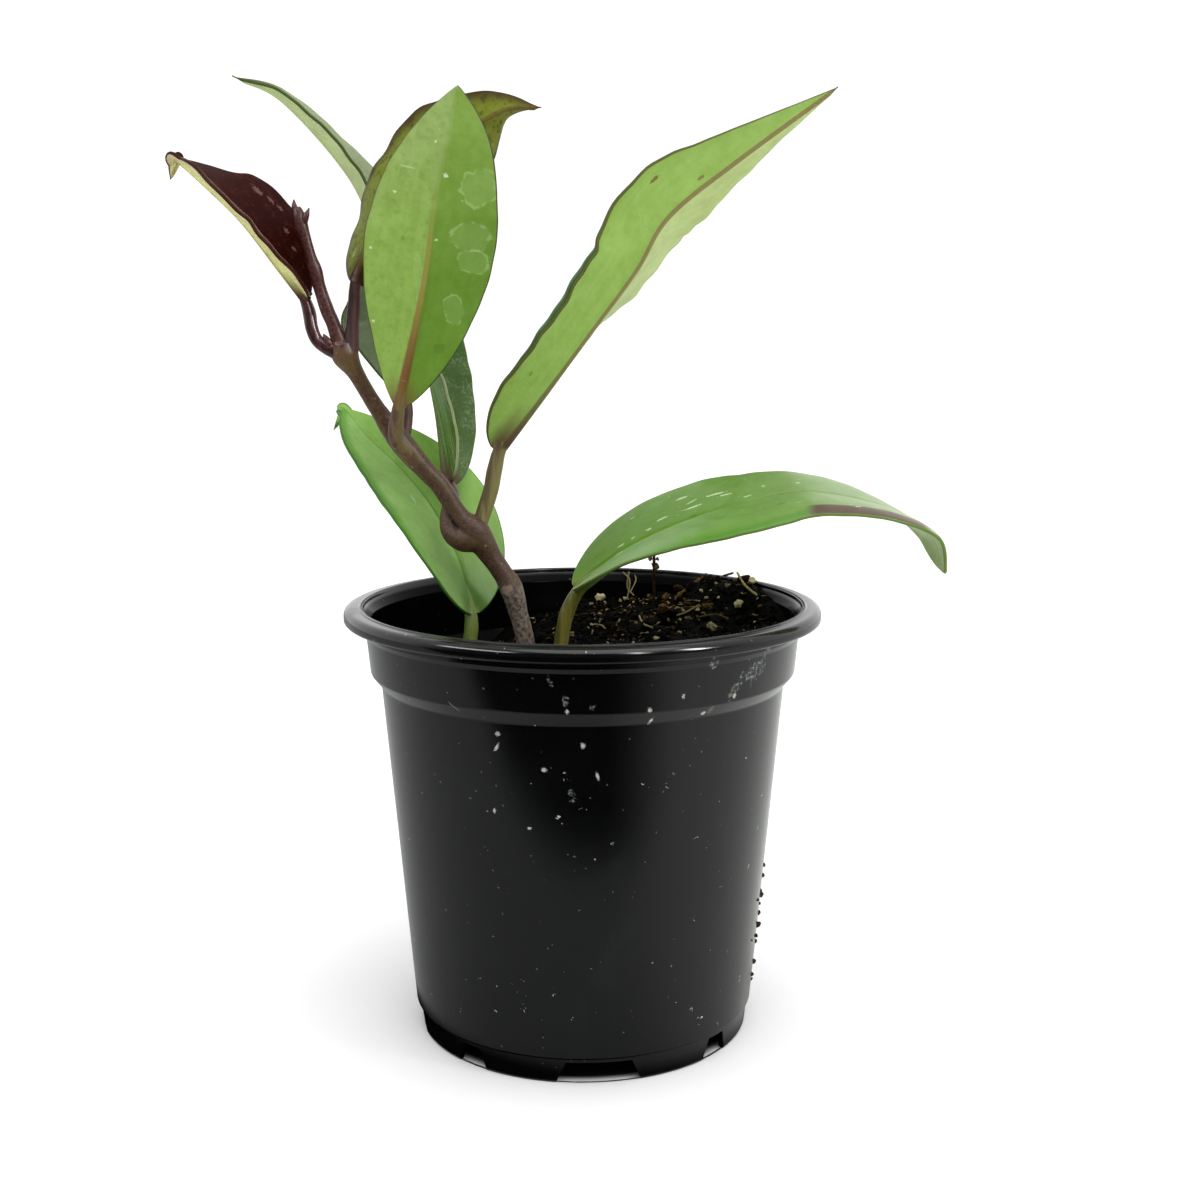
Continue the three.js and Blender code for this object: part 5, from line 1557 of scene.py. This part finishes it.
def make_mix(stalk_maker):
    finish = mix_finish()
    mix = grown("potting_mix_fill", mix_start(), mix_tree(), material=finish, **MIX_SKIN)
    bits = grown("mix_bits", mix_bits(), bits_tree(), material=finish, **BIT_SKIN)
    twigs = grown("mix_twigs", twig_lines(), stalk_maker, material=finish, **TWIG_SKIN)
    finished(joined([mix, bits, twigs]), "potting_mix")


def stalk_tree():
    """A round stalk along each line of points, as thick as its radius value, with bark relief."""
    tree, sizes = geometry_tree("round_stalks", {
        "Sides": "Int", "Bark Scale": "Float", "Bark Depth": "Float", "Material": "Material",
    })
    path = tree.add("GeometryNodeMeshToCurve", {0: sizes["Geometry"]}).outputs[0]
    ring = tree.add(
        "GeometryNodeCurvePrimitiveCircle", {"Resolution": sizes["Sides"], "Radius": 1.0}
    ).outputs[0]
    radius = tree.add("GeometryNodeInputNamedAttribute", {"Name": "stalk_radius"}).outputs[0]
    stalk = tree.add("GeometryNodeCurveToMesh", {
        "Curve": path, "Profile Curve": ring, "Scale": radius, "Fill Caps": True,
    }).outputs[0]
    here = tree.add("GeometryNodeInputPosition").outputs[0]
    normal = tree.add("GeometryNodeInputNormal").outputs[0]
    bark = tree.minus(tree.noise(here, sizes["Bark Scale"], 3.0, 0.6), 0.5)
    lift = tree.vector("SCALE", normal, tree.times(bark, sizes["Bark Depth"]))
    stalk = tree.add("GeometryNodeSetPosition", {"Geometry": stalk, "Offset": lift}).outputs[0]
    stalk = tree.add("GeometryNodeSetShadeSmooth", {0: stalk, "Shade Smooth": True}).outputs[0]
    end_tree(tree, stalk, sizes["Material"])
    return tree


def stalk_lines(name, stalks):
    """Close points along each stalk, with their radii, how far they count as stalk, and place or tone."""
    points, edges = [], []
    values = {"radii": [], "bare": [], "run": [], "tone": []}
    for stalk in stalks:
        rough = np.asarray(stalk["points"], float)
        length = np.linalg.norm(np.diff(rough, axis=0), axis=1).sum()
        places = np.linspace(0, 1, max(int(length / STALK_STEP), 8))
        first = len(points)
        points += list(through(rough, places))
        values["radii"] += list(through(stalk["radii"], places)[:, 0])
        values["bare"] += list(through(stalk.get("bare", (1, 1)), places)[:, 0])
        values["run"] += list(through(stalk.get("run", (0, 0)), places)[:, 0])
        values["tone"] += [stalk.get("tone", 0)] * len(places)
        edges += [(i, i + 1) for i in range(first, len(points) - 1)]
    mesh = bare_mesh(name, placed(points), edges=edges)
    none = np.zeros(len(points))
    run = np.maximum(values["run"], 0)
    add_values(mesh, "stalk_radius", np.maximum(values["radii"], 0.05) * MM)
    add_values(mesh, "stalk", np.clip(values["bare"], 0, 1))
    add_values(mesh, "tone", values["tone"])
    add_values(mesh, "leaf_place", np.stack([none, run, none], 1), "FLOAT_VECTOR")
    add_values(mesh, "leaf_share", np.stack([none, run / LONG_BLADE, none + RIB_RIM], 1), "FLOAT_VECTOR")
    return mesh


def make_stem(stalk_maker):
    bark = stem_finish()
    stem_lines = stalk_lines("stem_line", [STEM, SHOOT, KNEE])
    stem = grown("stem_and_shoot", stem_lines, stalk_maker, material=bark, **STEM_SKIN)
    grown_together(stem)
    scale_lines = stalk_lines("bud_scales_line", BUD_SCALES)
    scales = grown("bud_scales", scale_lines, stalk_maker, material=bark, **STEM_SKIN)
    finished(joined([stem, scales]), "main_stem")


def grown_together(piece):
    """Makes one skin of the stalks that cross each other, with soft creases between them."""
    skin = piece.modifiers.new("one_skin", "REMESH")
    skin.mode = "VOXEL"
    skin.voxel_size = STEM_GRAIN * MM
    skin.use_smooth_shade = True
    soft = piece.modifiers.new("soft_creases", "SMOOTH")
    soft.iterations = STEM_SMOOTHING
    bpy.context.view_layer.update()
    evaluated = piece.evaluated_get(bpy.context.evaluated_depsgraph_get())
    whole = bpy.data.meshes.new_from_object(evaluated)
    materials = list(piece.data.materials)
    piece.modifiers.clear()
    piece.data = whole
    whole.materials.clear()
    for material in materials:
        whole.materials.append(material)


def blade_progress(leaf, t):
    """How far along the blade t lies, and how far along the hook that may follow it, each from 0 to 1."""
    blade_spans = len(leaf["midrib"]) - 1
    blade_end = blade_spans / (blade_spans + len(leaf.get("hook", [])))
    on_blade = np.minimum(t / blade_end, 1)
    on_hook = np.maximum((t - blade_end) / max(1 - blade_end, 1e-6), 0) if "hook" in leaf else 0 * t
    return on_blade, on_hook


def blade_half_width(leaf, on_blade, on_hook):
    base, tip = leaf["round_base"], leaf["sharp_tip"]
    widest = base / (base + tip)
    full = widest**base * (1 - widest) ** tip
    width = leaf["half_width"] * on_blade**base * (1 - on_blade) ** tip / full
    hook_width = leaf.get("hook_half_width", 0) * (1 - on_hook**2)
    return np.maximum(np.maximum(width, hook_width), NARROWEST_HALF_BLADE)


def blade_frame(leaf, t):
    """Midrib points with the directions across the blade to its right and out of its upper side."""
    line = leaf["midrib"] + leaf.get("hook", [])
    centre = through(line, t)
    step = 1e-3
    forward = unit(through(line, t + step) - through(line, t - step))
    on_blade, on_hook = blade_progress(leaf, t)
    level = unit(np.cross((0, 1, 0), forward))
    facing = np.cross(level, forward)
    turn = np.radians(through(leaf["turn"], on_blade) + leaf.get("hook_turn", 0) * on_hook[:, None])
    across = level * np.cos(turn) + facing * np.sin(turn)
    upper = facing * np.cos(turn) - level * np.sin(turn)
    return centre, across, upper


def half_blade(leaf, t, side, shares):
    """Points from the midrib to one margin at each station, and the direction out of the upper side there."""
    centre, across, upper = blade_frame(leaf, t)
    on_blade, on_hook = blade_progress(leaf, t)
    word = "right" if side > 0 else "left"
    fold = through(leaf[word + "_fold"], on_blade)
    curl = through(leaf[word + "_curl"], on_blade)
    width = blade_half_width(leaf, on_blade, on_hook)[:, None]
    point = centre.copy()
    points, outward = [], []
    for inner, outer in zip(shares[:-1], shares[1:]):
        angle = np.radians(fold + curl * ((inner + outer) / 2) ** 3)
        stride = width * (outer - inner)
        point = point + stride * (side * across * np.cos(angle) + upper * np.sin(angle))
        points.append(point)
        outward.append(upper * np.cos(angle) - side * across * np.sin(angle))
    return points, outward


def blade_skins(leaf):
    """The rows and columns of a blade's upper and lower skin, with each point's place on the leaf."""
    rows = (1 - np.cos(np.linspace(0, math.pi, BLADE_ROWS))) / 2
    t = BLADE_FIRST + (1 - BLADE_FIRST) * rows
    even = np.linspace(0, 1, HALF_BLADE_COLUMNS + 1)
    shares = even - COLUMN_CROWDING * np.sin(2 * math.pi * even) / (2 * math.pi)
    centre, _, upper = blade_frame(leaf, t)
    left, left_out = half_blade(leaf, t, -1, shares)
    right, right_out = half_blade(leaf, t, 1, shares)
    middle = np.stack(left[::-1] + [centre] + right, 1)
    outward = np.stack(left_out[::-1] + [upper] + right_out, 1)
    on_blade, on_hook = blade_progress(leaf, t)
    width = blade_half_width(leaf, on_blade, on_hook)[:, None]
    half = np.concatenate([-shares[:0:-1], shares])[None, :] * np.ones_like(width)
    run = np.concatenate([[0], np.cumsum(np.linalg.norm(np.diff(centre, axis=0), axis=1))])[:, None]
    place = {"half": half, "across": half * width, "rim": (1 - np.abs(half)) * width}
    place["run"] = run * np.ones_like(half)
    place["along"] = on_blade[:, None] * np.ones_like(half)

    # Thin to a rounded margin, a furrow along the midrib above and a ridge below
    share = np.abs(half)
    body = (MIDRIB_THICKNESS + (MARGIN_THICKNESS - MIDRIB_THICKNESS) * np.sqrt(share)) / 2
    in_round = np.clip(1 - place["rim"] / np.minimum(MARGIN_ROUND, width), 0, 1)
    body = np.minimum(body, width) * np.sqrt(1 - in_round**2)
    taper = (1 - place["along"]) ** 0.7
    ridge_radius = RIDGE_TIP_RADIUS + (leaf["petiole_radius"] - RIDGE_TIP_RADIUS) * taper**1.6
    ridge = RIDGE_HEIGHT * ridge_radius * taper * np.exp(-((place["across"] / (0.7 * ridge_radius)) ** 2))
    ridge = ridge * (1 - share**2)
    groove = GROOVE["depth"] * taper * np.exp(-((place["across"] / GROOVE["width"]) ** 2)) * (1 - share**2)
    long_wave = np.sin(RIPPLES["wave"] * place["run"] + RIPPLES["apart"] * np.sign(half))
    short_wave = np.sin(RIPPLES["short_wave"] * place["run"] + RIPPLES["shift"])
    ripple = long_wave + RIPPLES["short_share"] * short_wave
    ripple = leaf["wave"] * ripple * share**2 * np.sin(math.pi * place["along"])
    surface = middle + outward * ripple[..., None]
    above = surface + outward * (body - groove)[..., None]
    below = surface - outward * (body + ridge)[..., None]
    return above, below, place


def blade_mesh(name, leaf):
    """One closed blade: the two skins meet along the margin and are joined at the base and tip."""
    above, below, place = blade_skins(leaf)
    rows, columns = above.shape[:2]
    index = np.arange(rows * columns).reshape(rows, columns)
    under = index.copy()
    under[:, 1:-1] = rows * columns + np.arange(rows * (columns - 2)).reshape(rows, columns - 2)
    points = np.concatenate([above.reshape(-1, 3), below[:, 1:-1].reshape(-1, 3)])
    faces = []
    for i in range(rows - 1):
        for k in range(columns - 1):
            faces.append((index[i, k], index[i, k + 1], index[i + 1, k + 1], index[i + 1, k]))
            faces.append((under[i, k], under[i + 1, k], under[i + 1, k + 1], under[i, k + 1]))
    for row, backwards in ((0, False), (rows - 1, True)):
        rim = list(index[row]) + list(under[row, -2:0:-1])
        faces.append(rim if backwards else rim[::-1])
    mesh = bare_mesh(name, placed(points), faces=[[int(i) for i in face] for face in faces])
    upper = np.ones((rows, columns))
    upper[:, [0, -1]] = 0.5
    values = {key: np.concatenate([grid.ravel(), grid[:, 1:-1].ravel()]) for key, grid in place.items()}
    values["upper"] = np.concatenate([upper.ravel(), np.zeros(rows * (columns - 2))])
    for name, keys in (("leaf_place", ("across", "run", "upper")), ("leaf_share", ("half", "along", "rim"))):
        add_values(mesh, name, np.stack([values[key] for key in keys], 1), "FLOAT_VECTOR")
    on_stalk = np.abs(values["across"]) < leaf["petiole_radius"]
    add_values(mesh, "stalk", STALK_SHARE * on_stalk * np.clip(1 - values["run"] / STALK_FADE, 0, 1))
    for polygon in mesh.polygons:
        polygon.use_smooth = True
    return mesh


def make_leaf(name, leaf, stalk_maker):
    look = LOOKS[name]
    finish = LeafFinish(name + "_skin", look).material
    blade = linked(name.replace("leaf_", "") + "_leaf", blade_mesh(name + "_blade", leaf))
    blade.data.materials.append(finish)
    centre, _, upper = blade_frame(leaf, np.array(RIB_STATIONS))
    under = [tuple(c - u * depth) for c, u, depth in zip(centre, upper, RIB_DEPTHS)]
    radius = leaf["petiole_radius"]
    petiole = leaf["petiole"]
    radii = leaf.get("petiole_radii", [radius * PETIOLE_FOOT] + [radius] * (len(petiole) - 1))
    line = {
        "points": petiole + under,
        "radii": [*radii, *(radius * share for share in RIB_SHARES)],
        "bare": [*([1] * len(petiole)), *RIB_BARE],
        "run": [*([0] * len(petiole)), *RIB_RUN],
    }
    start = stalk_lines(name + "_line", [line])
    stalk = grown(name + "_stalk", start, stalk_maker, material=finish, **PETIOLE_SKIN)
    finished(joined([blade, stalk]), name)


make_camera()
make_studio()
make_pot()
stalk_maker = stalk_tree()
make_mix(stalk_maker)
make_stem(stalk_maker)
for leaf_name, leaf_shape in LEAVES.items():
    make_leaf(leaf_name, leaf_shape, stalk_maker)
